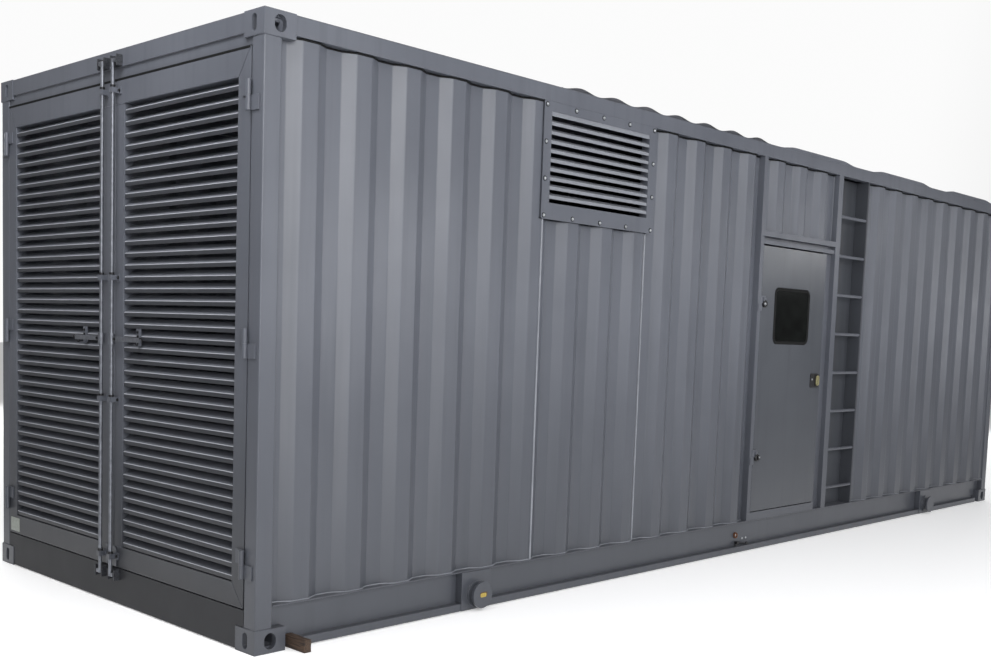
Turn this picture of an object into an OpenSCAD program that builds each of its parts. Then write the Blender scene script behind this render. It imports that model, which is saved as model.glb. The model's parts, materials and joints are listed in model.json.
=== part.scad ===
// Containerised generator enclosure: steel frame with corner castings, corrugated walls,
// a pair of louvred end doors with lock bars, a side vent, a service door and a ladder bay.
// Lengths run from the louvred end (x = 0) before the whole is centred on the corner castings.

/* [Overall] */
// Length over the corner castings
length = 9000; // [8600:10:12000]
// Width over the corner castings
width = 2800; // [2600:10:3200]
// Height over the corner castings
height = 3000; // [2950:10:3300]

/* [Corner castings] */
// Casting size along the enclosure
casting_x = 178; // [160:1:200]
// Casting size across the enclosure
casting_y = 162; // [150:1:180]
// Casting height
casting_z = 118; // [110:1:130]
// Casting wall
casting_wall = 28; // [20:1:30]
// Length of the twistlock slot
slot_len = 124; // [110:1:130]
// Width of the twistlock slot
slot_w = 63.5; // [56:0.5:66]
// Width of the upright slot in a casting's end face
end_slot_w = 40; // [30:1:60]
// Width of the hole in a casting's side face
side_slot_w = 66; // [36:1:66]
// Height of the upright holes in a casting
side_slot_h = 80; // [66:1:82]

/* [Frame] */
// Set-back of the posts and rails behind the casting faces
frame_inset = 4; // [2:0.5:10]
// Corner post size along the enclosure
post_x = 98; // [90:1:150]
// Corner post size across the enclosure
post_y = 96; // [80:1:140]
// Corner post wall
post_wall = 6; // [4:0.5:10]
// Height of the bottom side rail's top face
sill_top = 230; // [190:1:260]
// Clearance of the bottom rails above the ground
rail_lift = 5; // [3:0.5:15]
// Plate thickness of the bottom rails
rail_plate = 8; // [5:0.5:10]
// Depth of the recess in the bottom side rail
rail_recess = 45; // [30:1:70]
// Flange width of the bottom side rail
rail_flange = 110; // [80:1:140]
// Height of the box along the foot of the bottom side rail
rail_chord = 42; // [30:1:60]
// Face height of the top side rail
top_rail_h = 90; // [70:1:110]
// Width of the top side rail
top_rail_w = 60; // [50:1:90]
// Wall of the top rails and headers
tube_wall = 4; // [3:0.5:6]
// Drop of the top rails below the top of the castings
roof_drop = 6; // [3:0.5:10]
// Depth of the end beams along the enclosure
beam_x = 90; // [70:1:110]
// Height of the end sill above the ground
end_sill_top = 202; // [170:1:220]
// Height of the header's lower member
header_low_h = 57; // [40:1:80]
// Set-back of the header's lower member
header_step = 10; // [4:1:20]
// Wall of the posts and rails round the service door
door_frame_wall = 6; // [5:0.5:8]
// Lap of the door posts behind the walls
frame_lap = 6; // [2:1:12]

/* [Corrugation] */
// Pitch of the corrugation
pitch = 326; // [260:1:340]
// Length of one slope along the wall
slope = 68; // [50:1:76]
// Width of the inner flat
inner_flat = 94; // [60:1:100]
// Depth of the corrugation
corr_depth = 36; // [20:1:45]
// Sheet thickness of the walls
sheet = 3; // [2:0.5:4]
// Set-back of the wall's outer flats behind the casting faces
wall_inset = 16; // [12:1:24]
// Start of the first fold, from the louvred end
first_fold = 324; // [240:1:340]
// Start of the first fold over the service door, from its post
over_door_fold = 308; // [200:1:320]
// Start of the first fold beyond the ladder bay
rear_fold = 308; // [200:1:380]

/* [Floor and roof] */
// Floor plate thickness
floor_plate = 6; // [4:0.5:8]
// Number of floor cross members
cross_count = 15; // [8:1:22]
// Cross member height
cross_h = 140; // [100:1:160]
// Cross member width
cross_w = 50; // [40:1:70]
// Cross member thickness
cross_t = 6; // [4:0.5:8]
// Length of the flat roof plate at the louvred end
roof_flat_len = 1900; // [1500:10:2200]
// Number of pressed waves in the middle roof sheet
wave_count = 7; // [4:1:8]
// Pitch of the roof waves
wave_pitch = 333; // [300:1:345]
// Height of the roof waves
wave_h = 22; // [10:1:30]
// Number of long pressings in the rear roof sheet
press_count = 3; // [1:1:4]
// Gap between the long pressings
press_gap = 330; // [200:10:400]
// Length of the sloped ends of the long pressings
press_slope = 170; // [100:10:200]

/* [Side vent] */
// Start of the vent frame
vent_x = 1925; // [1860:5:1960]
// Length of the vent frame
vent_w = 1080; // [900:5:1100]
// Height of the vent frame
vent_h = 672; // [500:2:700]
// Border of the vent frame at its sides
vent_border = 66; // [50:1:90]
// Border of the vent frame at its foot
vent_border_low = 96; // [60:1:110]
// Border of the vent frame at its head
vent_border_top = 54; // [40:1:80]
// Number of vent blades
vent_blades_n = 9; // [5:1:10]
// Open height under the lowest vent blade
vent_foot_open = 24; // [14:1:30]
// Height of the lip under the head of the vent
vent_top_lip = 26; // [16:1:32]
// Set-back of the vent blades behind the vent frame's face
vent_blade_inset = 3.5; // [3.5:0.5:8]
// Depth of the vent frame
vent_depth = 62; // [56:1:80]
// Set-back of the vent frame's face behind the casting faces
vent_inset = 2; // [1:0.5:6]
// Set-in of the vent's box from the edge of its flange
vent_box_in = 8; // [4:1:20]
// Set-in of the panel joints below the vent from its sides
vent_joint_in = 25; // [15:1:35]
// Sheet thickness of frames and blades
blade_t = 3; // [2:0.5:4]
// Depth of a vent blade
vent_blade_depth = 36; // [30:1:50]
// Height of the upright lip at a vent blade's foot
vent_blade_lip = 14; // [8:1:16]
// Open height between one vent blade and the next
vent_blade_open = 15; // [8:1:20]

/* [Service door] */
// Start of the post beside the service door
door_post_x = 4345; // [4300:5:4400]
// Width of the post beside the service door
door_post_w = 44; // [36:1:60]
// Width of the service door leaf
door_w = 950; // [800:5:980]
// Height of the service door leaf
door_h = 1974; // [1800:2:2000]
// Thickness of the service door leaf
door_t = 42; // [36:1:60]
// Skin thickness of the door leaves
door_skin = 3; // [2:0.5:4]
// Gap round the service door
door_gap = 6; // [6:0.5:10]
// Gap over the service door
door_head_gap = 12; // [6:0.5:14]
// Set-back of the leaf's face behind its frame
door_inset = 2; // [1:0.5:6]
// Height of the frame below the service door
door_sill_h = 58; // [40:1:80]
// Height of the strip over the service door
head_strip_h = 30; // [24:1:50]
// Set-back of that strip
head_strip_inset = 8; // [2:1:16]
// Height of the recess over that strip
head_recess_h = 26; // [16:1:36]
// Depth of that recess
head_recess_depth = 40; // [20:1:44]
// Height of the rail over the recess
transom_h = 40; // [30:1:60]
// Width of the recessed jamb beside the service door
jamb_w = 128; // [80:1:150]
// Set-back of that jamb
jamb_inset = 38; // [10:1:42]
// Width of the window opening
window_w = 530; // [400:5:560]
// Height of the window opening
window_h = 424; // [300:2:460]
// Corner radius of the window opening
window_r = 52; // [30:1:70]
// Height of the window's centre above the leaf's foot
window_z = 1466; // [1300:2:1500]
// Shift of the window towards the hinges
window_shift = 20; // [0:1:40]
// Width of the rubber window frame
gasket_w = 24; // [15:1:35]
// Thickness of the glass
glass_t = 6; // [4:0.5:8]
// Set-back of the glass behind the leaf's face
glass_inset = 2; // [1:0.5:6]
// Proud height of the rubber window frame
gasket_proud = 8; // [4:0.5:12]
// Depth of the rubber window frame behind the leaf's face
gasket_back = 14; // [12:0.5:20]
// Height of the lock's centre above the leaf's foot
lock_z = 976; // [800:2:1100]
// Distance of the lock from the leaf's free edge
lock_in = 20; // [16:1:60]
// Width of the lock case
lock_w = 136; // [90:1:150]
// Height of the lock case
lock_h = 110; // [90:1:130]
// Thickness of the lock case
lock_t = 14; // [10:1:20]
// Border round the lock's dished middle
lock_border = 16; // [10:1:20]
// Depth of that dish
lock_dish = 8; // [4:0.5:9]
// Size of the lock's paddle
lock_paddle = 56; // [40:1:60]
// Height of the lower hinge's centre above the leaf's foot
door_hinge_low = 409; // [300:1:600]
// Height of the upper hinge's centre above the leaf's foot
door_hinge_high = 1551; // [1300:1:1700]
// Height of a door hinge
door_hinge_h = 110; // [80:2:140]
// Diameter of a door hinge
door_hinge_d = 16; // [14:0.5:20]
// Pin diameter of a door hinge
door_pin_d = 8; // [5:0.5:9]
// Strap thickness of a door hinge
door_strap_t = 5; // [3:0.5:6]
// Reach of a hinge strap over the leaf
door_strap_reach = 50; // [40:1:70]
// Diameter of the cap on a hinge strap
door_cap_d = 34; // [24:1:40]
// Height of that cap
door_cap_h = 8; // [4:0.5:10]

/* [Ladder bay] */
// Width of the post between the door and the ladder bay
bay_post_w = 72; // [50:1:90]
// Clear width of the ladder bay
bay_w = 455; // [360:5:480]
// Depth of the ladder bay
bay_depth = 110; // [80:2:160]
// Thickness of the ladder bay's far cheek
bay_cheek = 20; // [12:1:30]
// Number of rungs
rung_count = 8; // [4:1:8]
// Rung spacing
rung_pitch = 314; // [250:2:330]
// Height of the lowest rung
rung_low = 388; // [330:2:420]
// Rung diameter
rung_d = 24; // [18:1:30]
// Set-back of the rungs behind the posts
rung_inset = 2; // [1:0.5:10]

/* [Louvred end doors] */
// Gap round the louvred leaves
leaf_gap = 6; // [6:0.5:10]
// Gap between the two leaves where they meet
meet_gap = 10; // [10:0.5:14]
// Thickness of the louvred leaves
leaf_t = 60; // [50:1:80]
// Width of a leaf's outer stile
stile_out = 100; // [80:1:130]
// Width of a leaf's meeting stile
stile_in = 124; // [120:1:160]
// Height of a leaf's bottom rail
leaf_rail_low = 116; // [90:1:130]
// Height of a leaf's top rail
leaf_rail_top = 130; // [90:1:150]
// Set-back of the blades behind the leaf's face
blade_inset = 6; // [3:1:10]
// Depth of a leaf's blade
leaf_blade_depth = 43; // [26:1:44]
// Height of the upright lip at a leaf blade's foot
leaf_blade_lip = 18; // [10:1:26]
// Open height between one leaf blade and the next
leaf_blade_open = 11; // [5:1:20]
// Number of blades in a leaf
blade_count = 38; // [20:1:38]
// Hinge knuckle diameter
knuckle_d = 26; // [20:1:32]
// Hinge pin diameter
pin_d = 12; // [8:1:16]
// Hinge height
hinge_h = 140; // [100:2:160]
// Width of a hinge plate
hinge_plate_w = 72; // [50:1:80]
// Height of the lowest hinge's centre above the leaf's foot
hinge_low = 218; // [120:2:300]
// Distance of the top hinge's centre below the leaf's head
hinge_top = 224; // [120:2:300]
// Drop of the middle hinge below the leaf's centre
hinge_mid_drop = 48; // [0:2:100]
// Thickness of a hinge plate
hinge_plate_t = 5; // [4:0.5:7]
// Gap between a hinge knuckle and the post's face
knuckle_gap = 2; // [1:0.5:4]
// Width of the web between a knuckle and its plate
web_w = 10; // [8:1:14]
// Width of the strip over the meeting gap
astragal_w = 36; // [24:1:46]
// Thickness of that strip
astragal_t = 4; // [3:0.5:6]
// Lap of that strip over the gap
astragal_lap = 2; // [1:0.5:3]
// End clearance of that strip
astragal_end = 20; // [5:1:40]
// Width of the bare plate on the left leaf
plate_w = 120; // [60:1:140]
// Height of that plate
plate_h = 84; // [40:1:100]
// Distance of that plate from the leaf's outer edge
plate_in = 20; // [10:1:60]
// Height of that plate above the leaf's foot
plate_up = 14; // [6:1:30]
// Thickness of that plate
plate_t = 2; // [1:0.5:3]

/* [Lock bars] */
// Distance of each lock bar from the middle
bar_y = 57; // [50:1:66]
// Lock bar diameter
bar_d = 20; // [18:1:24]
// Distance of the bar's axis in front of the leaf
bar_stand = 30; // [26:1:36]
// Length of the lock bar handle
handle_len = 300; // [200:5:340]
// Height of the handles above the ground
handle_z = 1462; // [1300:2:1600]
// Height of a handle's flat bar
handle_h = 26; // [20:1:32]
// Thickness of a handle's flat bar
handle_t = 8; // [6:0.5:10]
// Diameter of a handle's hub
hub_d = 34; // [28:1:38]
// Height of a handle's hub
hub_h = 60; // [40:2:80]
// Overlap of a bar's ends with the sill and the header
bar_end = 40; // [34:1:50]
// Reach of a bar's cams
cam_reach = 34; // [26:1:38]
// Height of a bar's cams
cam_h = 20; // [16:1:24]
// Thickness of a bar's cams
cam_t = 12; // [8:1:14]
// Distance of the end guides from the leaf's foot and head
guide_end = 60; // [50:2:120]
// Distance of the middle guides from the handle
guide_mid = 330; // [250:5:500]
// Height of a guide's base plate
guide_h = 40; // [34:1:60]
// Width of a guide's base plate
guide_w = 57; // [50:1:62]
// Reach of that plate towards the meeting gap
guide_in = 17; // [15:1:18]
// Height of a guide's saddle
saddle_h = 28; // [20:1:32]
// Wall of a guide's saddle
saddle_wall = 5; // [4:0.5:6]
// Thickness of the plates under guides, hasps and keepers
gear_plate_t = 6; // [4:0.5:7]
// Width of a hasp plate
hasp_w = 32; // [24:1:40]
// Distance of a hasp from the end of its handle
hasp_in = 60; // [40:1:100]
// Rise of a hasp above the handle's middle
hasp_up = 60; // [40:1:80]
// Drop of a hasp below the handle's middle
hasp_down = 30; // [22:1:40]
// Gap between a handle and its hasp's tongue
hasp_gap = 5; // [4:0.5:8]
// Height of a keeper's plate
keeper_h = 60; // [50:1:80]
// Width of a keeper's plate
keeper_w = 74; // [66:1:80]
// Reach of a keeper's plate towards the middle
keeper_in = 24; // [20:1:30]

/* [Lifting lugs] */
// Distance of the lifting lugs from the ends
lug_x = 1490; // [1200:5:1700]
// Width of a lifting lug plate
lug_w = 230; // [190:2:260]
// Diameter of the lug's discs
lug_disc_d = 150; // [120:2:160]
// Reach of the lug beyond the casting faces
lug_reach = 56; // [40:1:70]
// Height of the lug's centre
lug_z = 92; // [90:1:110]
// Diameter of the lug's neck
lug_neck_d = 108; // [80:1:116]
// Thickness of the ring behind the neck
lug_ring_t = 10; // [6:1:14]
// Thickness of the outer disc
lug_disc_t = 16; // [10:1:20]

/* [Small fittings] */
// Place of the drain along the bottom rail
drain_x = 4270; // [4000:5:4400]
// Height of the drain socket
drain_z = 125; // [110:1:160]
// Diameter of the drain socket
drain_d = 40; // [30:1:50]
// Bore of the drain socket
drain_bore = 22; // [12:1:26]
// Length of the drain socket
drain_len = 14; // [10:1:30]
// Depth of the bore
drain_deep = 10; // [6:1:12]
// Height of the drain cock
cock_z = 68; // [62:1:80]
// Shift of the cock from the socket
cock_shift = 10; // [0:1:30]
// Diameter of the cock
cock_d = 26; // [20:1:28]
// Length of the cock
cock_len = 30; // [20:1:36]
// Length of the cock's lever
lever_len = 60; // [40:1:80]
// Width of the lever
lever_w = 8; // [6:0.5:12]
// Thickness of the lever
lever_t = 6; // [4:0.5:8]
// Gap between the packing block and the casting
block_gap = 34; // [10:1:60]
// Packing block width
block_w = 42; // [30:1:60]
// Packing block height
block_h = 64; // [40:1:70]
// Reach of the packing block beyond the casting faces
block_reach = 108; // [60:1:130]
// Length of the packing block
block_len = 290; // [200:5:350]

/* [Hidden] */
$fn = 48;
paint = "#6f727a";
dark_paint = "#55575f";
black = "#1c1c1e";
timber = "#3b2822";
glass = "#2a2f35";
// Clearance where one piece seats on another
seat = 0.3;
// Radial clearance of a hinge pin
pin_play = 0.06;
// Overshoot of a cutting solid beyond the surface that it cuts
over = 1;
// Places that follow from the sizes above
floor_top = sill_top + floor_plate;
roof_z = height - roof_drop;
rail_low_z = roof_z - top_rail_h;
post_in_y = width / 2 - frame_inset - post_y;
post_end_x = frame_inset + post_x;
header_low_z = rail_low_z - header_low_h;
leaf_foot = end_sill_top + leaf_gap;
leaf_head = header_low_z - leaf_gap;
leaf_out = post_in_y - leaf_gap;
leaf_in = meet_gap / 2;
leaf_x = frame_inset;
hinge_y = post_in_y - leaf_gap / 2;
hinge_x = leaf_x - knuckle_d / 2 - knuckle_gap;
bar_x = leaf_x - bar_stand;
opening_foot = leaf_foot + leaf_rail_low;
opening_head = leaf_head - leaf_rail_top;
wall_y = -width / 2 + wall_inset;
block_x0 = casting_x + block_gap;
door_x0 = door_post_x + door_post_w + door_gap;
door_x1 = door_x0 + door_w;
bay_post_x = door_x1 + door_gap + jamb_w;
bay_x0 = bay_post_x + bay_post_w;
bay_x1 = bay_x0 + bay_w;
door_foot = sill_top + door_sill_h + door_gap;
door_head = door_foot + door_h;
strip_z = door_head + door_head_gap;
recess_z = strip_z + head_strip_h;
door_rail_z = recess_z + head_recess_h;
door_y = -width / 2 + frame_inset + door_inset;
vent_z1 = rail_low_z - seat;
vent_z0 = vent_z1 - vent_h;
vent_open_z0 = vent_z0 + vent_border_low;
vent_open_z1 = vent_z1 - vent_border_top;
wall_back = -width / 2 + wall_inset + corr_depth + sheet;
frame_back = wall_back + frame_lap;

// Outer depth of the corrugation at x, for a first inward slope that starts at x0
function fold(x, x0) =
    let (u = (x - x0) - pitch * floor((x - x0) / pitch))
    u < slope ? corr_depth * u / slope :
    u < slope + inner_flat ? corr_depth :
    u < 2 * slope + inner_flat ? corr_depth * (2 * slope + inner_flat - u) / slope : 0;
// Corners of the corrugation between xa and xb
function fold_corners(xa, xb, x0) = [
    for (i = [floor((xa - x0) / pitch) : ceil((xb - x0) / pitch)])
        for (u = [0, slope, slope + inner_flat, 2 * slope + inner_flat])
            let (x = x0 + i * pitch + u)
            if (x > xa + over && x < xb - over) x
];

module set_out() translate([-length / 2, 0, 0]) children();
module block(x0, x1, y0, y1, z0, z1) translate([x0, y0, z0]) cube([x1 - x0, y1 - y0, z1 - z0]);
module both_sides() {
    children();
    mirror([0, 1, 0]) children();
}
module both_ends() {
    children();
    translate([length, 0, 0]) mirror([1, 0, 0]) children();
}
// Slot with round ends, centred, its length along x and its axis along z
module slot(len, w, depth) {
    cube([len - w, w, depth], center = true);
    for (s = [-1, 1]) translate([s * (len - w) / 2, 0, 0]) cylinder(d = w, h = depth, center = true);
}
// Rectangular frame in the xz plane, from y0 inwards
module ring(x0, x1, z0, z1, border_x, border_lo, border_hi, y0, depth) {
    difference() {
        block(x0, x1, y0, y0 + depth, z0, z1);
        block(x0 + border_x, x1 - border_x, y0 - over, y0 + depth + over, z0 + border_lo, z1 - border_hi);
    }
}
// Corrugated sheet: outer flats at y = 0, folds towards +y
module corrugated(xa, xb, x0, h) {
    xs = concat([xa], fold_corners(xa, xb, x0), [xb]);
    n = len(xs);
    outer = [for (x = xs) [x, fold(x, x0)]];
    inner = [for (i = [n - 1 : -1 : 0]) [xs[i], fold(xs[i], x0) + sheet]];
    linear_extrude(h) polygon(concat(outer, inner));
}

// ---- Frame ----
module casting() {
    cx = casting_x / 2;
    cy = casting_y / 2;
    difference() {
        cube([casting_x, casting_y, casting_z]);
        translate([casting_wall, casting_wall, casting_wall])
            cube([casting_x - 2 * casting_wall, casting_y - 2 * casting_wall, casting_z - 2 * casting_wall]);
        // twistlock slot in the outer horizontal face
        translate([cx, cy, 0]) slot(slot_len, slot_w, 2 * casting_wall + over);
        // hole in the side face
        translate([cx, 0, casting_z / 2]) rotate([90, 0, 0]) rotate([0, 0, 90])
            slot(side_slot_h, side_slot_w, 2 * casting_wall + over);
        // hole in the end face
        translate([0, cy, casting_z / 2]) rotate([0, 90, 0])
            slot(side_slot_h, end_slot_w, 2 * casting_wall + over);
    }
}
module corner_castings() color(paint) set_out() both_ends() both_sides() translate([0, -width / 2, 0]) {
    casting();
    translate([0, 0, height]) mirror([0, 0, 1]) casting();
}
module corner_posts() color(paint) set_out() both_ends() both_sides()
    translate([frame_inset, -width / 2 + frame_inset, casting_z])
        linear_extrude(height - 2 * casting_z) difference() {
            square([post_x, post_y]);
            translate([post_wall, post_wall]) square([post_x - 2 * post_wall, post_y - 2 * post_wall]);
        }
// Clearance for the castings round a rail that runs between them
module casting_room(z0, z1) both_ends() both_sides()
    block(-over, casting_x + seat, -width / 2 - over, -width / 2 + casting_y + seat, z0, z1);
// Clearance for all eight castings
module castings_room() {
    casting_room(-over, casting_z + seat);
    casting_room(height - casting_z - seat, height + over);
}
module bottom_side_rails() color(paint) set_out() both_sides() difference() {
    translate([post_end_x, -width / 2 + frame_inset, 0]) rotate([90, 0, 90])
        linear_extrude(length - 2 * post_end_x) difference() {
            union() {
                translate([0, sill_top - rail_plate]) square([rail_flange, rail_plate]);
                translate([rail_recess, rail_lift])
                    square([rail_plate, sill_top - rail_lift - rail_plate / 2]);
                translate([0, rail_lift]) square([rail_recess + rail_plate, rail_chord]);
            }
            translate([rail_plate, rail_lift + rail_plate])
                square([rail_recess - rail_plate, rail_chord - 2 * rail_plate]);
        }
    castings_room();
    // pockets beside the castings, where a packing block can lie
    both_ends() block(casting_x - over, block_x0 + block_w + seat, -width, -width / 2 + rail_flange,
        -over, block_h + seat);
}
module top_side_rails() color(paint) set_out() both_sides()
    translate([casting_x, -width / 2 + frame_inset, rail_low_z]) rotate([90, 0, 90])
        linear_extrude(length - 2 * casting_x) difference() {
            square([top_rail_w, top_rail_h]);
            translate([tube_wall, tube_wall])
                square([top_rail_w - 2 * tube_wall, top_rail_h - 2 * tube_wall]);
        }
// Beam of box section across one end, between y = -half and half
module cross_beam(x0, dx, z0, dz, half) translate([x0, half, z0]) rotate([90, 0, 0])
    linear_extrude(2 * half) difference() {
        square([dx, dz]);
        translate([tube_wall, tube_wall]) square([dx - 2 * tube_wall, dz - 2 * tube_wall]);
    }
module end_headers() color(paint) set_out() both_ends() difference() {
    union() {
        cross_beam(frame_inset, beam_x, rail_low_z, top_rail_h, post_in_y);
        cross_beam(frame_inset + header_step, beam_x - header_step, header_low_z, header_low_h, post_in_y);
    }
    castings_room();
}
module end_sills() color(paint) set_out() both_ends() difference() {
    cross_beam(frame_inset, beam_x, rail_lift, end_sill_top - rail_lift, post_in_y);
    castings_room();
}

// ---- Floor and roof ----
module cross_members() color(dark_paint) set_out() {
    half = width / 2 - frame_inset - rail_recess - rail_plate;
    room = length - 2 * casting_x - cross_w;
    difference() {
        for (i = [0 : cross_count - 1])
            translate([casting_x + (i + 0.5) * room / cross_count, half, sill_top - cross_h])
                rotate([90, 0, 0]) linear_extrude(2 * half) difference() {
                    square([cross_w, cross_h]);
                    translate([cross_t, cross_t]) square([cross_w, cross_h - 2 * cross_t]);
                }
        // notches under the rails' flanges
        both_sides() block(0, length, -width / 2, -width / 2 + frame_inset + rail_flange + seat,
            sill_top - rail_plate - seat, sill_top + over);
    }
}
module floor() color(dark_paint) set_out() difference() {
    block(frame_inset + beam_x, length - frame_inset - beam_x, frame_back + seat, -frame_back - seat,
        sill_top, floor_top);
    // room for the corner posts
    both_ends() both_sides() block(0, post_end_x + seat, -width / 2, -post_in_y + seat, 0, height);
    // room for the ladder bay
    block(bay_x0 - sheet - seat, bay_x1 + sheet + seat, -width / 2,
        -width / 2 + bay_depth + sheet + seat, 0, height);
}
// Roof sheet from a profile of [x, z] points, closed down to the rails at both sides
module roof_sheet(points) {
    n = len(points);
    half = width / 2 - frame_inset;
    under = [for (i = [n - 1 : -1 : 0]) [points[i][0], points[i][1] - sheet]];
    closed = concat([[points[0][0], 0]], points, [[points[n - 1][0], 0]]);
    translate([0, half, roof_z]) rotate([90, 0, 0]) {
        linear_extrude(2 * half) polygon(concat(points, under));
        linear_extrude(sheet) polygon(closed);
        translate([0, 0, 2 * half - sheet]) linear_extrude(sheet) polygon(closed);
    }
}
wave_steps = 16;
wave_x0 = casting_x + roof_flat_len;
wave_x1 = wave_x0 + wave_count * wave_pitch;
press_len = (length - casting_x - wave_x1 - press_count * press_gap) / press_count;
// Roof plate over an end header, between the castings
module roof_end() block(frame_inset, casting_x, -width / 2 + casting_y + seat, width / 2 - casting_y - seat,
    roof_z, roof_z + sheet);
// Tongue that joins the end plate to the sheet behind it
module roof_tongue() block(casting_x - over, casting_x + over, -width / 2 + casting_y + seat,
    width / 2 - casting_y - seat, roof_z, roof_z + sheet);
module roof_front() color(paint) set_out() {
    roof_sheet([[casting_x + seat, sheet], [wave_x0 - seat, sheet]]);
    roof_end();
    roof_tongue();
}
module roof_middle() color(paint) set_out() roof_sheet([
    for (i = [0 : wave_steps * wave_count])
        [wave_x0 + i * wave_pitch / wave_steps, sheet + wave_h * (1 - cos(360 * i / wave_steps)) / 2]
]);
module roof_rear() color(paint) set_out() {
    roof_sheet(concat(
        [[wave_x1 + seat, sheet]],
        [for (i = [0 : press_count - 1])
            for (p = [[0, 0], [press_slope, 1], [press_len - press_slope, 1], [press_len, 0]])
                [wave_x1 + press_gap / 2 + i * (press_len + press_gap) + p[0], sheet + wave_h * p[1]]],
        [[length - casting_x - seat, sheet]]
    ));
    translate([length, 0, 0]) mirror([1, 0, 0]) {
        roof_end();
        roof_tongue();
    }
}

// ---- Walls ----
// Corrugated wall panel on the visible side
module side_panel(xa, xb, x0, z0, z1) translate([0, wall_y, z0]) corrugated(xa, xb, x0, z1 - z0);
joint_x0 = vent_x + vent_joint_in;
joint_x1 = vent_x + vent_w - vent_joint_in;
// Room for the vent frame in the walls beside it
module vent_room() block(vent_x - seat, vent_x + vent_w + seat, -width, width, vent_z0 - seat, height);
module wall_front() color(paint) set_out() difference() {
    side_panel(post_end_x, joint_x0, first_fold, sill_top, rail_low_z);
    castings_room();
    vent_room();
}
module wall_under_vent() color(paint) set_out()
    side_panel(joint_x0 + seat, joint_x1, first_fold, sill_top, vent_z0 - seat);
module wall_middle() color(paint) set_out() difference() {
    side_panel(joint_x1 + seat, door_post_x, first_fold, sill_top, rail_low_z);
    vent_room();
}
module wall_over_door() color(paint) set_out()
    side_panel(door_post_x + door_post_w, bay_post_x, door_post_x + over_door_fold,
        door_rail_z + transom_h, rail_low_z);
module wall_rear() color(paint) set_out() difference() {
    side_panel(bay_x1, length - post_end_x, bay_x1 + rear_fold, sill_top, rail_low_z);
    castings_room();
}
module hidden_side_wall() color(paint) set_out() mirror([0, 1, 0]) difference() {
    side_panel(post_end_x, length - post_end_x, first_fold, sill_top, rail_low_z);
    castings_room();
}
// An inner flat lies on the middle of the closed end
module hidden_end_wall() color(paint) set_out()
    translate([length - wall_inset, 0, end_sill_top]) rotate([0, 0, 90])
        corrugated(-post_in_y, post_in_y, -slope - inner_flat / 2, header_low_z - end_sill_top);

// ---- Vent ----
module vent_frame() color(paint) set_out() {
    y0 = -width / 2 + vent_inset;
    ring(vent_x, vent_x + vent_w, vent_z0, vent_z1, vent_border, vent_border_low, vent_border_top, y0, blade_t);
    ring(vent_x + vent_box_in, vent_x + vent_w - vent_box_in, vent_z0 + vent_box_in, vent_z1 - vent_box_in,
        blade_t, blade_t, blade_t, y0, vent_depth);
    ring(vent_x + vent_border - blade_t, vent_x + vent_w - vent_border + blade_t,
        vent_open_z0 - blade_t, vent_open_z1 + blade_t,
        blade_t, blade_t, blade_t, y0, vent_depth);
}
// Louvre blade in the yz plane: upright lip outside, then a slope up and inwards to the full height
module blade(len, high, depth, lip) {
    // upright thickness of the sloping sheet
    thick = blade_t * norm([depth, high - lip]) / depth;
    rotate([90, 0, 90]) linear_extrude(len) polygon([
        [0, 0], [blade_t, 0], [blade_t, lip], [depth, high - thick],
        [depth, high], [0, lip + thick]
    ]);
}
module vent_blades() color(paint) set_out() {
    foot = vent_open_z0 + vent_foot_open;
    head = vent_open_z1 - seat;
    step = (head - vent_top_lip - foot) / vent_blades_n;
    len = vent_w - 2 * vent_border - 2 * seat;
    translate([vent_x + vent_border + seat, -width / 2 + vent_inset + vent_blade_inset, 0]) {
        for (i = [0 : vent_blades_n - 1]) translate([0, 0, foot + i * step])
            blade(len, step - vent_blade_open, vent_blade_depth, vent_blade_lip);
        // lip under the head, turned inwards at its top
        translate([0, 0, head - vent_top_lip]) cube([len, blade_t, vent_top_lip]);
        translate([0, 0, head - blade_t]) cube([len, vent_blade_depth, blade_t]);
    }
}

// ---- Service door frame and ladder bay ----
// Hollow bar of the door frame: a tube between its two corners, open at the ends of axis a
module frame_tube(x0, x1, y0, z0, z1, upright) difference() {
    block(x0, x1, y0, frame_back, z0, z1);
    w = door_frame_wall;
    if (upright) block(x0 + w, x1 - w, y0 + w, frame_back - w, z0 - over, z1 + over);
    else block(x0 - over, x1 + over, y0 + w, frame_back - w, z0 + w, z1 - w);
}
module service_door_frame() color(paint) set_out() {
    y0 = -width / 2 + frame_inset;
    door_post_x1 = door_post_x + door_post_w;
    // post beside the hinges, hollowed round the knuckles
    difference() {
        frame_tube(door_post_x, door_post_x1, y0, sill_top, rail_low_z, true);
        for (z = door_hinge_zs) translate([door_hinge_x, door_y, z - door_hinge_h / 2 - knuckle_gap])
            cylinder(d = door_hinge_d + 2 * seat, h = door_hinge_h + 2 * knuckle_gap);
    }
    // sill
    frame_tube(door_post_x1, door_x1 + door_gap, y0, sill_top, door_foot - door_gap, false);
    // head strip, back of the recess, and transom rail
    frame_tube(door_post_x1, bay_post_x, y0 + head_strip_inset, strip_z, recess_z, false);
    block(door_post_x1, bay_post_x, y0 + head_recess_depth, frame_back, recess_z, door_rail_z);
    frame_tube(door_post_x1, bay_post_x, y0, door_rail_z, door_rail_z + transom_h, false);
    // recessed jamb beside the lock
    frame_tube(door_x1 + door_gap, bay_post_x, y0 + jamb_inset, sill_top, strip_z, true);
    // post beside the ladder bay
    frame_tube(bay_post_x, bay_x0, y0, sill_top, rail_low_z, true);
}
module ladder_bay() color(dark_paint) set_out() {
    y0 = -width / 2 + frame_inset;
    y1 = -width / 2 + bay_depth;
    // back
    block(bay_x0 - sheet, bay_x1 + sheet, y1, y1 + sheet, sill_top, rail_low_z);
    // cheeks, seated against the back
    block(bay_x0 - sheet, bay_x0, frame_back, y1 - seat, sill_top, rail_low_z);
    block(bay_x1 - bay_cheek, bay_x1, y0, y1 - seat, sill_top, rail_low_z);
}
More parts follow.
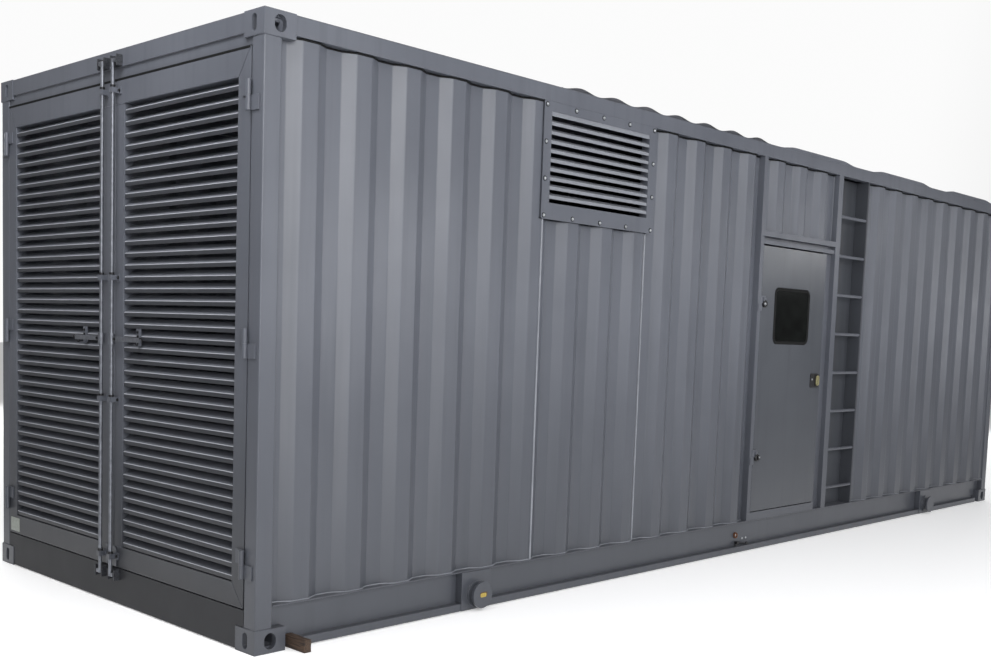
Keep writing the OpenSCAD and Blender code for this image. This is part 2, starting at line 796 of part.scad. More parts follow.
module ladder_rungs() color(paint) set_out() {
    y = -width / 2 + frame_inset + rung_inset + rung_d / 2;
    for (i = [0 : rung_count - 1])
        translate([bay_x0 + seat, y, rung_low + i * rung_pitch]) rotate([0, 90, 0])
            cylinder(d = rung_d, h = bay_w - bay_cheek - 2 * seat);
}

// ---- Lifting lugs and small fittings ----
module lifting_lugs() color(paint) set_out() both_ends() both_sides() {
    y0 = -width / 2;
    difference() {
        block(lug_x - lug_w / 2, lug_x + lug_w / 2, y0, y0 + frame_inset + rail_recess - seat,
            rail_lift, sill_top - rail_plate - seat);
        // room for the rail's foot box behind the plate
        block(lug_x - lug_w, lug_x + lug_w, y0 + frame_inset - seat, 0, 0, rail_lift + rail_chord + seat);
    }
    translate([lug_x, y0, lug_z]) rotate([90, 0, 0]) {
        cylinder(d = lug_disc_d, h = lug_ring_t);
        cylinder(d = lug_neck_d, h = lug_reach - lug_disc_t);
        translate([0, 0, lug_reach - lug_disc_t]) cylinder(d = lug_disc_d, h = lug_disc_t);
    }
}
module drain_fittings() color(timber) set_out() {
    y0 = -width / 2 + frame_inset + rail_recess - seat;
    translate([drain_x, y0, drain_z]) rotate([90, 0, 0]) difference() {
        cylinder(d = drain_d, h = drain_len);
        translate([0, 0, drain_len - drain_deep]) cylinder(d = drain_bore, h = drain_len);
    }
    translate([drain_x + cock_shift, y0, cock_z]) rotate([90, 0, 0]) {
        cylinder(d = cock_d, h = cock_len);
        translate([-lever_w, -lever_w / 2, cock_len - lever_t - over]) cube([lever_len, lever_w, lever_t]);
    }
}
module packing_block() color(timber) set_out()
    block(block_x0, block_x0 + block_w, -width / 2 - block_reach,
        -width / 2 - block_reach + block_len, 0, block_h);

// ---- Louvred doors ----
// The left leaf hangs on the +y post and the right leaf on the -y post
module leaf_frame() {
    x0 = leaf_x;
    difference() {
        block(x0, x0 + leaf_t, leaf_in, leaf_out, leaf_foot, leaf_head);
        block(x0 - over, x0 + leaf_t + over, leaf_in + stile_in, leaf_out - stile_out,
            opening_foot, opening_head);
        // open back of the pressed frame
        difference() {
            block(x0 + door_skin, x0 + leaf_t + over, leaf_in + door_skin, leaf_out - door_skin,
                leaf_foot + door_skin, leaf_head - door_skin);
            block(x0, x0 + leaf_t + 2 * over, leaf_in + stile_in - door_skin,
                leaf_out - stile_out + door_skin, opening_foot - door_skin, opening_head + door_skin);
        }
    }
}
module leaf_blades() {
    step = (opening_head - opening_foot) / blade_count;
    y0 = leaf_in + stile_in + seat;
    y1 = leaf_out - stile_out - seat;
    for (i = [0 : blade_count - 1])
        translate([leaf_x + blade_inset, y1, opening_foot + i * step + leaf_blade_open / 2])
            rotate([0, 0, -90]) blade(y1 - y0, step - leaf_blade_open, leaf_blade_depth, leaf_blade_lip);
}
hinge_zs = [leaf_foot + hinge_low, (leaf_foot + leaf_head) / 2 - hinge_mid_drop, leaf_head - hinge_top];
// Knuckle and plate on the leaf: the upper half of each hinge
module leaf_hinges() for (z = hinge_zs) difference() {
    union() {
        translate([hinge_x, hinge_y, z + seat]) cylinder(d = knuckle_d, h = hinge_h / 2 - seat);
        block(leaf_x - knuckle_gap - hinge_plate_t, leaf_x - seat, hinge_y - hinge_plate_w + web_w, hinge_y,
            z + seat, z + hinge_h / 2);
        block(hinge_x, leaf_x - knuckle_gap, hinge_y - web_w, hinge_y, z + seat, z + hinge_h / 2);
    }
    translate([hinge_x, hinge_y, z - over]) cylinder(d = pin_d + 2 * pin_play, h = hinge_h);
}
module post_hinge_set() for (z = hinge_zs) {
    translate([hinge_x, hinge_y, z - hinge_h / 2]) cylinder(d = knuckle_d, h = hinge_h / 2);
    translate([hinge_x, hinge_y, z - over]) cylinder(d = pin_d, h = hinge_h / 2 + hinge_plate_t);
    block(leaf_x - knuckle_gap - hinge_plate_t, leaf_x - seat, hinge_y, hinge_y + hinge_plate_w,
        z - hinge_h / 2, z);
    block(hinge_x, leaf_x - knuckle_gap, hinge_y, hinge_y + web_w, z - hinge_h / 2, z);
}
module post_hinges() color(paint) set_out() both_sides() post_hinge_set();
// Guides that hold the bar against the leaf, and the hasp behind the handle
guide_zs = [leaf_foot + guide_end, handle_z - guide_mid, handle_z + guide_mid, leaf_head - guide_end];
gear_x = leaf_x - gear_plate_t;
saddle = bar_d / 2 + saddle_wall;
module bar_guides() for (z = guide_zs) difference() {
    union() {
        block(gear_x, leaf_x - seat, bar_y - guide_in, bar_y - guide_in + guide_w,
            z - guide_h / 2, z + guide_h / 2);
        block(bar_x - saddle, gear_x, bar_y - saddle, bar_y + saddle, z - saddle_h / 2, z + saddle_h / 2);
    }
    translate([bar_x, bar_y, z - guide_h]) cylinder(d = bar_d + 2 * pin_play, h = 2 * guide_h);
}
module handle_hasp() {
    y1 = bar_y + handle_len - hasp_in;
    tongue_z = handle_z - handle_h / 2 - hasp_gap;
    block(gear_x, leaf_x + blade_inset - seat, y1 - hasp_w / 2, y1 + hasp_w / 2,
        handle_z - hasp_down, handle_z + hasp_up);
    block(bar_x + handle_t, gear_x, y1 - hasp_w / 2, y1 + hasp_w / 2,
        handle_z - hasp_down, tongue_z - hasp_gap);
}
bar_z0 = casting_z + bar_end;
bar_z1 = rail_low_z + bar_end;
// Cams lie at the middle of their keepers
cam_zs = [bar_z0 + cam_h / 2 + seat, bar_z1 - cam_h / 2 - seat];
module lock_bar() {
    translate([bar_x, bar_y, bar_z0]) cylinder(d = bar_d, h = bar_z1 - bar_z0);
    for (z = cam_zs)
        block(bar_x - cam_t / 2, bar_x + cam_t / 2, bar_y, bar_y + cam_reach, z - cam_h / 2, z + cam_h / 2);
    // handle hub and handle
    translate([bar_x, bar_y, handle_z - hub_h / 2]) cylinder(d = hub_d, h = hub_h);
    block(bar_x - handle_t / 2, bar_x + handle_t / 2, bar_y, bar_y + handle_len,
        handle_z - handle_h / 2, handle_z + handle_h / 2);
}
module lock_bar_keepers() color(paint) set_out() both_sides() {
    y0 = bar_y - keeper_in;
    y1 = y0 + keeper_w;
    for (z = cam_zs) {
        block(gear_x, frame_inset - seat, y0, y1, z - keeper_h / 2, z + keeper_h / 2);
        for (y = [y0, y1 - gear_plate_t]) block(bar_x - gear_plate_t, gear_x, y, y + gear_plate_t,
            z - keeper_h / 2, z + keeper_h / 2);
    }
}
module left_leaf_frame() color(paint) set_out() leaf_frame();
module left_leaf_blades() color(paint) set_out() leaf_blades();
module left_leaf_hinges() color(paint) set_out() leaf_hinges();
module left_bar_guides() color(paint) set_out() { bar_guides(); handle_hasp(); }
module left_lock_bar() color(paint) set_out() lock_bar();
module right_leaf_frame() color(paint) set_out() {
    mirror([0, 1, 0]) leaf_frame();
    // astragal that covers the meeting gap
    block(leaf_x - astragal_t, leaf_x, -leaf_in + astragal_lap - astragal_w, -leaf_in + astragal_lap,
        leaf_foot + astragal_end, leaf_head - astragal_end);
}
module right_leaf_blades() color(paint) set_out() mirror([0, 1, 0]) leaf_blades();
module right_leaf_hinges() color(paint) set_out() mirror([0, 1, 0]) leaf_hinges();
module right_bar_guides() color(paint) set_out() mirror([0, 1, 0]) { bar_guides(); handle_hasp(); }
module right_lock_bar() color(paint) set_out() mirror([0, 1, 0]) lock_bar();
module bare_plate() color("#8b8f86") set_out()
    block(leaf_x - plate_t, leaf_x - seat / 2, leaf_out - plate_in - plate_w, leaf_out - plate_in,
        leaf_foot + plate_up, leaf_foot + plate_up + plate_h);

// ---- Service door ----
window_cx = (door_x0 + door_x1) / 2 - window_shift;
window_cz = door_foot + window_z;
module window_prism(grow, y0, y1) {
    r = window_r + grow;
    w = window_w / 2 + grow - r;
    h = window_h / 2 + grow - r;
    translate([window_cx, y1, window_cz]) rotate([90, 0, 0]) linear_extrude(y1 - y0) union() {
        square([2 * w + 2 * r, 2 * h], center = true);
        square([2 * w, 2 * h + 2 * r], center = true);
        for (i = [-1, 1], j = [-1, 1]) translate([i * w, j * h]) circle(r = r);
    }
}
module service_door() color(paint) set_out() difference() {
    block(door_x0, door_x1, door_y, door_y + door_t, door_foot, door_head);
    // hollow between the outer skin and the open back
    difference() {
        block(door_x0 + door_skin, door_x1 - door_skin, door_y + door_skin, door_y + door_t + over,
            door_foot + door_skin, door_head - door_skin);
        window_prism(door_skin + gasket_w, door_y, door_y + door_t);
    }
    window_prism(0, door_y - over, door_y + door_t + over);
    // relief at the hinges
    for (z = door_hinge_zs) block(door_x0 - over, door_x0 + web_w, door_y - over, door_y + door_hinge_d,
        z - door_hinge_h / 2 - 2 * knuckle_gap, z + door_hinge_h / 2 + 2 * knuckle_gap);
}
door_hinge_zs = [door_foot + door_hinge_low, door_foot + door_hinge_high];
door_hinge_x = door_x0 - door_gap / 2;
module door_frame_hinges() color(paint) set_out() for (z = door_hinge_zs) {
    translate([door_hinge_x, door_y, z - door_hinge_h / 2]) cylinder(d = door_hinge_d, h = door_hinge_h / 2);
    translate([door_hinge_x, door_y, z - over])
        cylinder(d = door_pin_d, h = door_hinge_h / 2 - door_strap_t);
    block(door_post_x + door_strap_t, door_hinge_x, door_y - door_inset - door_strap_t,
        door_y - door_inset - seat, z - door_hinge_h / 2, z);
}
module door_hinges() color(paint) set_out() for (z = door_hinge_zs) {
    difference() {
        union() {
            translate([door_hinge_x, door_y, z + seat])
                cylinder(d = door_hinge_d, h = door_hinge_h / 2 - seat);
            block(door_hinge_x, door_x0 + door_strap_reach, door_y - door_strap_t, door_y - seat,
                z + seat, z + door_hinge_h / 2);
        }
        translate([door_hinge_x, door_y, z - over])
            cylinder(d = door_pin_d + 2 * pin_play, h = door_hinge_h);
    }
    translate([door_x0 + door_strap_reach - door_cap_d / 2, door_y - door_strap_t, z + door_hinge_h / 4])
        rotate([90, 0, 0]) cylinder(d = door_cap_d, h = door_cap_h);
}
module window_gasket() color(black) set_out() difference() {
    window_prism(-seat, door_y - gasket_proud, door_y + gasket_back);
    window_prism(-gasket_w, door_y - gasket_proud - over, door_y + gasket_back + over);
}
module window_glass() color(glass) set_out()
    window_prism(-gasket_w - seat, door_y + glass_inset, door_y + glass_inset + glass_t);
module door_lock() color(black) set_out() {
    x1 = door_x1 - lock_in;
    z = door_foot + lock_z;
    dish_y = door_y - lock_t + lock_dish;
    difference() {
        block(x1 - lock_w, x1, door_y - lock_t, door_y - seat, z - lock_h / 2, z + lock_h / 2);
        block(x1 - lock_w + lock_border, x1 - lock_border, door_y - lock_t - over, dish_y,
            z - lock_h / 2 + lock_border, z + lock_h / 2 - lock_border);
    }
    translate([x1 - lock_w / 2 - lock_paddle / 2, door_y - lock_t - lock_dish / 2, z - lock_paddle / 2])
        cube([lock_paddle, dish_y - (door_y - lock_t - lock_dish / 2), lock_paddle]);
}

corner_castings();
corner_posts();
bottom_side_rails();
top_side_rails();
end_headers();
end_sills();
cross_members();
floor();
roof_front();
roof_middle();
roof_rear();
wall_front();
wall_under_vent();
wall_middle();
wall_over_door();
wall_rear();
hidden_side_wall();
hidden_end_wall();
vent_frame();
vent_blades();
service_door_frame();
ladder_bay();
ladder_rungs();
lifting_lugs();
drain_fittings();
packing_block();
lock_bar_keepers();
post_hinges();
door_frame_hinges();
left_leaf_frame();
left_leaf_blades();
left_leaf_hinges();
left_bar_guides();
left_lock_bar();
right_leaf_frame();
right_leaf_blades();
right_leaf_hinges();
right_bar_guides();
right_lock_bar();
bare_plate();
service_door();
window_gasket();
window_glass();
door_lock();
door_hinges();
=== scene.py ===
# Containerised generator enclosure, dressed over its CAD frame. Metres, in the frame's own axes.
import bpy
import bmesh
import json
import math
from mathutils import Matrix, Vector, noise


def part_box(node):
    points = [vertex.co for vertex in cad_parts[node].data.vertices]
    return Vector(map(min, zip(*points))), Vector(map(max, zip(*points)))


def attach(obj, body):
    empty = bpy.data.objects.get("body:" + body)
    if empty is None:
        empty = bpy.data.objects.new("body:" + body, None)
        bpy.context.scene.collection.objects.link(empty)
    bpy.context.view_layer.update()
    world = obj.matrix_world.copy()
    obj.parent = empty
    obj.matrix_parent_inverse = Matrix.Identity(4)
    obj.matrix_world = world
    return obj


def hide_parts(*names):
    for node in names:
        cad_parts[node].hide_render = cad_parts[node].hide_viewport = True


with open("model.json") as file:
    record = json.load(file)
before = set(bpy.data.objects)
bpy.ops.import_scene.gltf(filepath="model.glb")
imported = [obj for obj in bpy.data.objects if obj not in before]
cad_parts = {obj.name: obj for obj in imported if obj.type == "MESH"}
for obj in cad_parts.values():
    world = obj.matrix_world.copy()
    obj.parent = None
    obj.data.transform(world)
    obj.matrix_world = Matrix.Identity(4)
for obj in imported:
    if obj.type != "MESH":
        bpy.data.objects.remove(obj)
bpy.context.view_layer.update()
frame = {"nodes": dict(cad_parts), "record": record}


def toLinear(hexColour):
    values = [int(hexColour[i:i + 2], 16) / 255 for i in (1, 3, 5)]
    return tuple(v / 12.92 if v <= 0.04045 else ((v + 0.055) / 1.055) ** 2.4 for v in values) + (1.0,)


def perMm(size):
    # noise scale for features of that size in millimetres
    return 1000.0 / size


def addNode(tree, kind, settings=None, links=None):
    node = tree.nodes.new("ShaderNode" + kind)
    for key, value in (settings or {}).items():
        if isinstance(key, int) or not hasattr(node, key):
            node.inputs[key].default_value = value
        else:
            setattr(node, key, value)
    for key, output in (links or {}).items():
        tree.links.new(output, node.inputs[key])
    return node


def newMaterial(name):
    material = bpy.data.materials.new(name)
    material.use_nodes = True
    shader = material.node_tree.nodes["Principled BSDF"]
    return material, material.node_tree, shader


def addPiece(name, shape, material, body="root", sharp=38, stands=()):
    data = bpy.data.meshes.new(name)
    shape.to_mesh(data)
    shape.free()
    data.polygons.foreach_set("use_smooth", [True] * len(data.polygons))
    data.set_sharp_from_angle(angle=math.radians(sharp))
    data.materials.append(material)
    piece = bpy.data.objects.new(name, data)
    bpy.context.scene.collection.objects.link(piece)
    even = piece.modifiers.new("evenShade", "WEIGHTED_NORMAL")
    even.keep_sharp = True
    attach(piece, body)
    if stands:
        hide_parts(*stands)
    return piece


def nodeShape(node):
    shape = bmesh.new()
    shape.from_mesh(frame["nodes"][node].data)
    bmesh.ops.remove_doubles(shape, verts=shape.verts, dist=1e-5)
    return shape


def roundEdges(shape, radius, steps, low=30, high=180, upright=False):
    # rounds the edges whose faces turn by low to high degrees
    bmesh.ops.dissolve_limit(shape, angle_limit=math.radians(0.5), verts=shape.verts, edges=shape.edges)
    chosen = []
    for edge in shape.edges:
        if len(edge.link_faces) != 2:
            continue
        turn = math.degrees(edge.calc_face_angle(0))
        along = (edge.verts[1].co - edge.verts[0].co).normalized()
        if low <= turn <= high and (not upright or abs(along.z) > 0.99):
            chosen.append(edge)
    bmesh.ops.bevel(shape, geom=chosen, offset=radius, offset_type="OFFSET", segments=steps,
                    profile=0.5, affect="EDGES", clamp_overlap=True)
    return shape


def solidsOf(node):
    # box of each separate solid of a node, in order of z, y and x
    shape = nodeShape(node)
    left = set(shape.verts)
    boxes = []
    while left:
        group, todo = [], [left.pop()]
        while todo:
            vert = todo.pop()
            group.append(vert.co.copy())
            for edge in vert.link_edges:
                other = edge.other_vert(vert)
                if other in left:
                    left.discard(other)
                    todo.append(other)
        boxes.append((Vector(min(c[i] for c in group) for i in range(3)),
                      Vector(max(c[i] for c in group) for i in range(3))))
    shape.free()
    return sorted(boxes, key=lambda b: tuple(round(v, 3) for v in (b[0].z, b[0].y, b[0].x)))


def slab(shape, low, high, radius):
    # block with rounded edges
    made = bmesh.ops.create_cube(shape, size=1.0)
    for vert in made["verts"]:
        for i in range(3):
            vert.co[i] = (low[i] + high[i]) / 2 + vert.co[i] * (high[i] - low[i])
    edges = [e for e in shape.edges if all(v in made["verts"] for v in e.verts)]
    bmesh.ops.bevel(shape, geom=edges, offset=radius, offset_type="OFFSET", segments=2,
                    profile=0.5, affect="EDGES", clamp_overlap=True)


def turned(shape, profile, place, along, sides=20):
    # turned part: profile of (radius, height), its axis through place towards along
    spin = Vector(along).to_track_quat("Z", "Y").to_matrix().to_4x4()
    move = Matrix.Translation(Vector(place)) @ spin
    rings = []
    for radius, height in profile:
        if radius == 0:
            rings.append([shape.verts.new(move @ Vector((0, 0, height)))])
        else:
            rings.append([shape.verts.new(move @ Vector((radius * math.cos(2 * math.pi * k / sides),
                                                         radius * math.sin(2 * math.pi * k / sides),
                                                         height))) for k in range(sides)])
    for lower, upper in zip(rings, rings[1:]):
        for k in range(sides):
            corners = [lower[k % len(lower)], lower[(k + 1) % len(lower)],
                       upper[(k + 1) % len(upper)], upper[k % len(upper)]]
            corners = [c for i, c in enumerate(corners) if c not in corners[:i]]
            if len(corners) > 2:
                shape.faces.new(corners)


def swept(shape, points, radius, sides=8, closed=False, flat=1.0):
    # round bar or bead along points, mitred at its corners
    points = [Vector(p) for p in points]
    count = len(points)
    first = (points[1] - points[0]).normalized()
    side = first.orthogonal().normalized()
    rings = []
    for i, point in enumerate(points):
        before = (point - points[i - 1]).normalized() if (i or closed) else first
        after = (points[(i + 1) % count] - point).normalized() if (i < count - 1 or closed) else before
        side = (side - before * side.dot(before)).normalized()
        up = before.cross(side)
        plane = (before + after).normalized()
        ring = []
        for k in range(sides):
            a = 2 * math.pi * k / sides
            spoke = side * (radius * math.cos(a)) + up * (radius * flat * math.sin(a))
            spoke -= before * (spoke.dot(plane) / before.dot(plane))
            ring.append(shape.verts.new(point + spoke))
        rings.append(ring)
        side = (side - after * side.dot(after)).normalized()
    pairs = list(zip(rings, rings[1:])) + ([(rings[-1], rings[0])] if closed else [])
    for lower, upper in pairs:
        for k in range(sides):
            shape.faces.new([lower[k], lower[(k + 1) % sides], upper[(k + 1) % sides], upper[k]])
    if not closed:
        shape.faces.new(list(reversed(rings[0])))
        shape.faces.new(rings[-1])


def roundedOutline(width, height, radius, steps=6):
    points = []
    for cx, cy, start in ((1, 1, 0), (-1, 1, 90), (-1, -1, 180), (1, -1, 270)):
        for k in range(steps + 1):
            a = math.radians(start + 90 * k / steps)
            points.append((cx * (width / 2 - radius) + radius * math.cos(a),
                           cy * (height / 2 - radius) + radius * math.sin(a)))
    return points


def plate(shape, outline, place, right, up, thick, edge):
    # flat piece: outline of (right, up) points, standing thick towards right x up from place
    right, up = Vector(right), Vector(up)
    out = right.cross(up)
    base = [shape.verts.new(Vector(place) + right * u + up * v) for u, v in outline]
    floor = shape.faces.new(base)
    made = bmesh.ops.extrude_face_region(shape, geom=[floor])
    top = [g for g in made["geom"] if isinstance(g, bmesh.types.BMVert)]
    for vert in top:
        vert.co += out * thick
    rim = [e for e in shape.edges if all(v in top for v in e.verts)]
    bmesh.ops.bevel(shape, geom=rim, offset=edge, offset_type="OFFSET", segments=2, profile=0.5,
                    affect="EDGES", clamp_overlap=True)
    floor.normal_flip()


def hexBolt(shape, place, along, across, head, washer):
    # hexagon bolt head on its washer
    disc, chamfer = 0.002, 0.0012
    turned(shape, [(0, 0), (washer, 0), (washer, disc), (0, disc)], place, along, 18)
    start = Vector(place) + Vector(along) * disc
    half = across / 2 / math.cos(math.pi / 6)
    turned(shape, [(half, 0), (half, head - chamfer), (half - 0.0016, head), (0, head)], start, along, 6)


def domeBolt(shape, place, along, washer, dome, rise):
    # cup head on a washer
    disc = 0.0018
    cup = [(dome * math.cos(a), disc + rise * math.sin(a)) for a in (math.radians(v) for v in (30, 55, 75))]
    turned(shape, [(0, 0), (washer, 0), (washer, disc), (dome, disc)] + cup + [(0, disc + rise)],
           place, along)


# grey of the whole enclosure; the darker tone shows where the coat is thin or has run
# its last three entries are painted shade: a darker tone that grows towards the foot
paintLook = {"body": "#53565e", "broad": "#5b5e66", "streak": "#4a4d54", "dust": "#74747a",
             "roughLow": 0.27, "roughHigh": 0.38, "grime": "#33353a", "grimeTop": 1.7, "grimeMost": 0.7}

# sizes of the paint's patterns in millimetres; orange peel is about 3 mm, drawn coarser so that it shows
paintGrain = {"clouds": 900, "runWide": 60, "runLong": 1400, "patches": 160, "waves": 420, "peel": 14}


def sprayedPaint(name, look):
    # two-pack polyurethane sprayed on steel: semi-gloss, with slow tone changes, faint runs
    # down the sheets, a little dust on what faces up, and orange peel in the highlights
    material, tree, shader = newMaterial(name)
    place = addNode(tree, "TexCoord").outputs["Object"]
    grain = {}
    for part, detail in (("clouds", 4.0), ("patches", 6.0), ("waves", 1.0), ("peel", 2.0)):
        grain[part] = addNode(tree, "TexNoise", {"Scale": perMm(paintGrain[part]), "Detail": detail},
                              {"Vector": place}).outputs[0]
    wide, tall = perMm(paintGrain["runWide"]), perMm(paintGrain["runLong"])
    stretch = addNode(tree, "Mapping", {"Scale": (wide, wide, tall)}, {"Vector": place})
    runs = addNode(tree, "TexNoise", {"Scale": 1.0, "Detail": 5.0}, {"Vector": stretch.outputs[0]})
    tone = addNode(tree, "MapRange", {"From Min": 0.35, "From Max": 0.65}, {"Value": grain["clouds"]})
    run = addNode(tree, "MapRange", {"From Min": 0.5, "From Max": 0.8, "To Max": 0.55},
                  {"Value": runs.outputs[0]})
    first = addNode(tree, "Mix", {"data_type": "RGBA", 6: toLinear(look["body"]),
                                  7: toLinear(look["broad"])}, {0: tone.outputs[0]})
    second = addNode(tree, "Mix", {"data_type": "RGBA", 7: toLinear(look["streak"])},
                     {0: run.outputs[0], 6: first.outputs[2]})
    facing = addNode(tree, "SeparateXYZ", None, {0: addNode(tree, "NewGeometry").outputs["Normal"]})
    lying = addNode(tree, "MapRange", {"From Min": 0.75, "From Max": 1.0, "To Max": 0.6},
                    {"Value": facing.outputs["Z"]})
    dust = addNode(tree, "Math", {"operation": "MULTIPLY"}, {0: lying.outputs[0], 1: grain["patches"]})
    third = addNode(tree, "Mix", {"data_type": "RGBA", 7: toLinear(look["dust"])},
                    {0: dust.outputs[0], 6: second.outputs[2]})
    # painted shade: the coat darkens towards the foot, from nothing at the top height to the most at the
    # foot
    height = addNode(tree, "SeparateXYZ", None, {0: place})
    low = addNode(tree, "MapRange", {"From Min": look["grimeTop"], "From Max": 0.0,
                                     "To Max": look["grimeMost"]}, {"Value": height.outputs["Z"]})
    fourth = addNode(tree, "Mix", {"data_type": "RGBA", 7: toLinear(look["grime"])},
                     {0: low.outputs[0], 6: third.outputs[2]})
    tree.links.new(fourth.outputs[2], shader.inputs["Base Color"])
    rough = addNode(tree, "MapRange", {"To Min": look["roughLow"], "To Max": look["roughHigh"]},
                    {"Value": grain["patches"]})
    tree.links.new(rough.outputs[0], shader.inputs["Roughness"])
    # sheet that isn't quite flat, then orange peel
    slack = addNode(tree, "Bump", {"Strength": 0.35, "Distance": 0.006}, {"Height": grain["waves"]})
    skin = addNode(tree, "Bump", {"Strength": 0.12, "Distance": 0.0006},
                   {"Height": grain["peel"], "Normal": slack.outputs[0]})
    tree.links.new(skin.outputs[0], shader.inputs["Normal"])
    shader.inputs["IOR"].default_value = 1.5
    # a film of dust takes some of the gloss away
    shader.inputs["Specular IOR Level"].default_value = 0.38
    return material


def mottled(name, dark, light, grain, rough, bump, metallic=0.0, ior=1.5, shine=0.5):
    # plain moulded, cast or coated surface: two close tones and a fine grain of grain millimetres
    material, tree, shader = newMaterial(name)
    place = addNode(tree, "TexCoord").outputs["Object"]
    cloud = addNode(tree, "TexNoise", {"Scale": perMm(grain), "Detail": 5.0}, {"Vector": place})
    tone = addNode(tree, "MapRange", {"From Min": 0.35, "From Max": 0.65}, {"Value": cloud.outputs[0]})
    colour = addNode(tree, "Mix", {"data_type": "RGBA", 6: toLinear(dark), 7: toLinear(light)},
                     {0: tone.outputs[0]})
    tree.links.new(colour.outputs[2], shader.inputs["Base Color"])
    spread = addNode(tree, "MapRange", {"To Min": rough - 0.06, "To Max": rough + 0.06},
                     {"Value": cloud.outputs[0]})
    tree.links.new(spread.outputs[0], shader.inputs["Roughness"])
    raised = addNode(tree, "Bump", {"Strength": 0.5, "Distance": bump}, {"Height": cloud.outputs[0]})
    tree.links.new(raised.outputs[0], shader.inputs["Normal"])
    shader.inputs["Metallic"].default_value = metallic
    if not metallic:
        shader.inputs["IOR"].default_value = ior
        shader.inputs["Specular IOR Level"].default_value = shine
    return material


def paintedLightAlongBlade(material, look):
    # on a louvre blade, painted light: the lip's foot takes another tone, painted shade on the leaves'
    # blades and a painted highlight on the vent's, and the bend is paler as a painted highlight
    tree = material.node_tree
    shader = tree.nodes["Principled BSDF"]
    tone = addNode(tree, "SeparateColor", None,
                   {0: addNode(tree, "Attribute", {"attribute_name": "bladeTone"}).outputs["Color"]})
    coat = shader.inputs["Base Color"].links[0].from_socket
    foot = addNode(tree, "Math", {"operation": "MULTIPLY", 1: look["lipFootPaintedMost"]}, {0: tone.outputs["Green"]})
    bend = addNode(tree, "Math", {"operation": "MULTIPLY", 1: look["bendHighlightMost"]}, {0: tone.outputs["Red"]})
    lipFootPainted = addNode(tree, "Mix", {"data_type": "RGBA", 7: toLinear(look["foot"])},
                     {0: foot.outputs[0], 6: coat})
    bendHighlighted = addNode(tree, "Mix", {"data_type": "RGBA", 7: toLinear(look["bend"])},
                     {0: bend.outputs[0], 6: lipFootPainted.outputs[2]})
    tree.links.new(bendHighlighted.outputs[2], shader.inputs["Base Color"])
    return material


def coat(name, **changes):
    # the enclosure's own paint, with some of its look changed
    return sprayedPaint(name, dict(paintLook, **changes))


greyPaint = coat("sprayedGreyPaint")
# the same coat in the ladder bay: darker as painted shade in the recess, and duller
recessShadePaint = coat("recessShadedSprayedPaint", body="#35373c", broad="#3e4147", streak="#2b2d31", roughLow=0.4,
                  roughHigh=0.52)
# the same coat on the end sills: darkest of all as painted shade, and duller
sillShadePaint = coat("sillShadedSprayedPaint", body="#25262a", broad="#2b2c31", streak="#1f2023",
                     roughLow=0.5, roughHigh=0.62, grime="#1b1c1f")
# the same coat on the louvred leaves: duller, and darker in their lower half as painted shade
leafLowShadePaint = coat("leafLowShadedPaint", roughLow=0.34, roughHigh=0.46, grime="#18191b", grimeTop=1.4,
                 grimeMost=0.95)
# the service door: a darker batch and a smoother coat, so that it mirrors the room softly
doorPaint = coat("smoothDoorPaint", body="#474a50", broad="#4e5157", streak="#404349", roughLow=0.2,
                 roughHigh=0.27)
# the same coat on the louvre blades: painted shade at the lip feet and a painted highlight along the bends
# draw each blade as a thin line
bladePaint = paintedLightAlongBlade(coat("sprayedBladePaint", body="#5c5f67", broad="#666971", streak="#52555c",
                                  grimeMost=0.8),
                             {"foot": "#222327", "lipFootPaintedMost": 0.8, "bend": "#c6c9d0", "bendHighlightMost": 0.65})
# vent blades: paler than the wall as painted sheen, and glossier; their lip feet and bends are paler still
# as painted highlights
ventSheenPaint = paintedLightAlongBlade(coat("ventPaintedSheenPaint", body="#6f7279", broad="#787b82", streak="#676a71",
                                 roughLow=0.22, roughHigh=0.3),
                            {"foot": "#8b8e95", "lipFootPaintedMost": 0.3, "bend": "#b4b7be", "bendHighlightMost": 0.6})
# greased steel on the bars' keepers: dark grey, half metallic, fairly smooth
greasedSteel = mottled("greasedSteel", "#2c2d31", "#45474c", 8, 0.4, 0.0002, metallic=0.5)
# steel blackened by oil and wear: dark, half metallic, fairly smooth
wornSteel = mottled("wornOiledSteel", "#1b1b1d", "#2e2e31", 6, 0.42, 0.0002, metallic=0.6)
# bare zinc on the lock bars, greyed by handling: a bright line down each bar
barZinc = mottled("greyedZincBar", "#676a71", "#7b7e85", 30, 0.4, 0.0002, metallic=0.7)
# polyurethane joint sealant under a thin coat: glossy, and paler than the steel as a painted highlight
highlightSealant = mottled("sealantWithPaintedHighlight", "#6e7178", "#7c7f86", 90, 0.3, 0.0001)
# brushed bitumen coat: nearly black brown-grey, dull and a little lumpy
underCoat = mottled("brushedBitumenCoat", "#26272a", "#35373b", 30, 0.72, 0.0008)
# EPDM rubber, extruded: deep grey-black and dull, with a fine bloom
extrudedRubber = mottled("extrudedRubber", "#101011", "#191a1a", 12, 0.66, 0.0002, shine=0.15)
# ABS, moulded: black with a fine spark texture that breaks up the highlight
mouldedPlastic = mottled("mouldedBlackPlastic", "#101012", "#19191c", 4, 0.42, 0.0002)
# nylon, moulded in dull olive yellow: slightly waxy and worn
oliveNylon = mottled("mouldedOliveNylon", "#6a6647", "#7e7957", 9, 0.46, 0.0002)
# enamel paint, brushed in yellow: thin at its edges
yellowEnamel = mottled("brushedYellowEnamel", "#8d7a30", "#b09a45", 14, 0.42, 0.0002)
# dull dark brown: the painted shadow round the lug's mark
holeShadowBrown = mottled("brushedHoleShadowBrown", "#3a2812", "#553d1e", 10, 0.6, 0.0002)
# zinc-plated steel, passivated: pale, with a soft shine
zincPlate = mottled("platedZinc", "#9da0a3", "#b9bcc0", 10, 0.36, 0.0001, metallic=1.0)
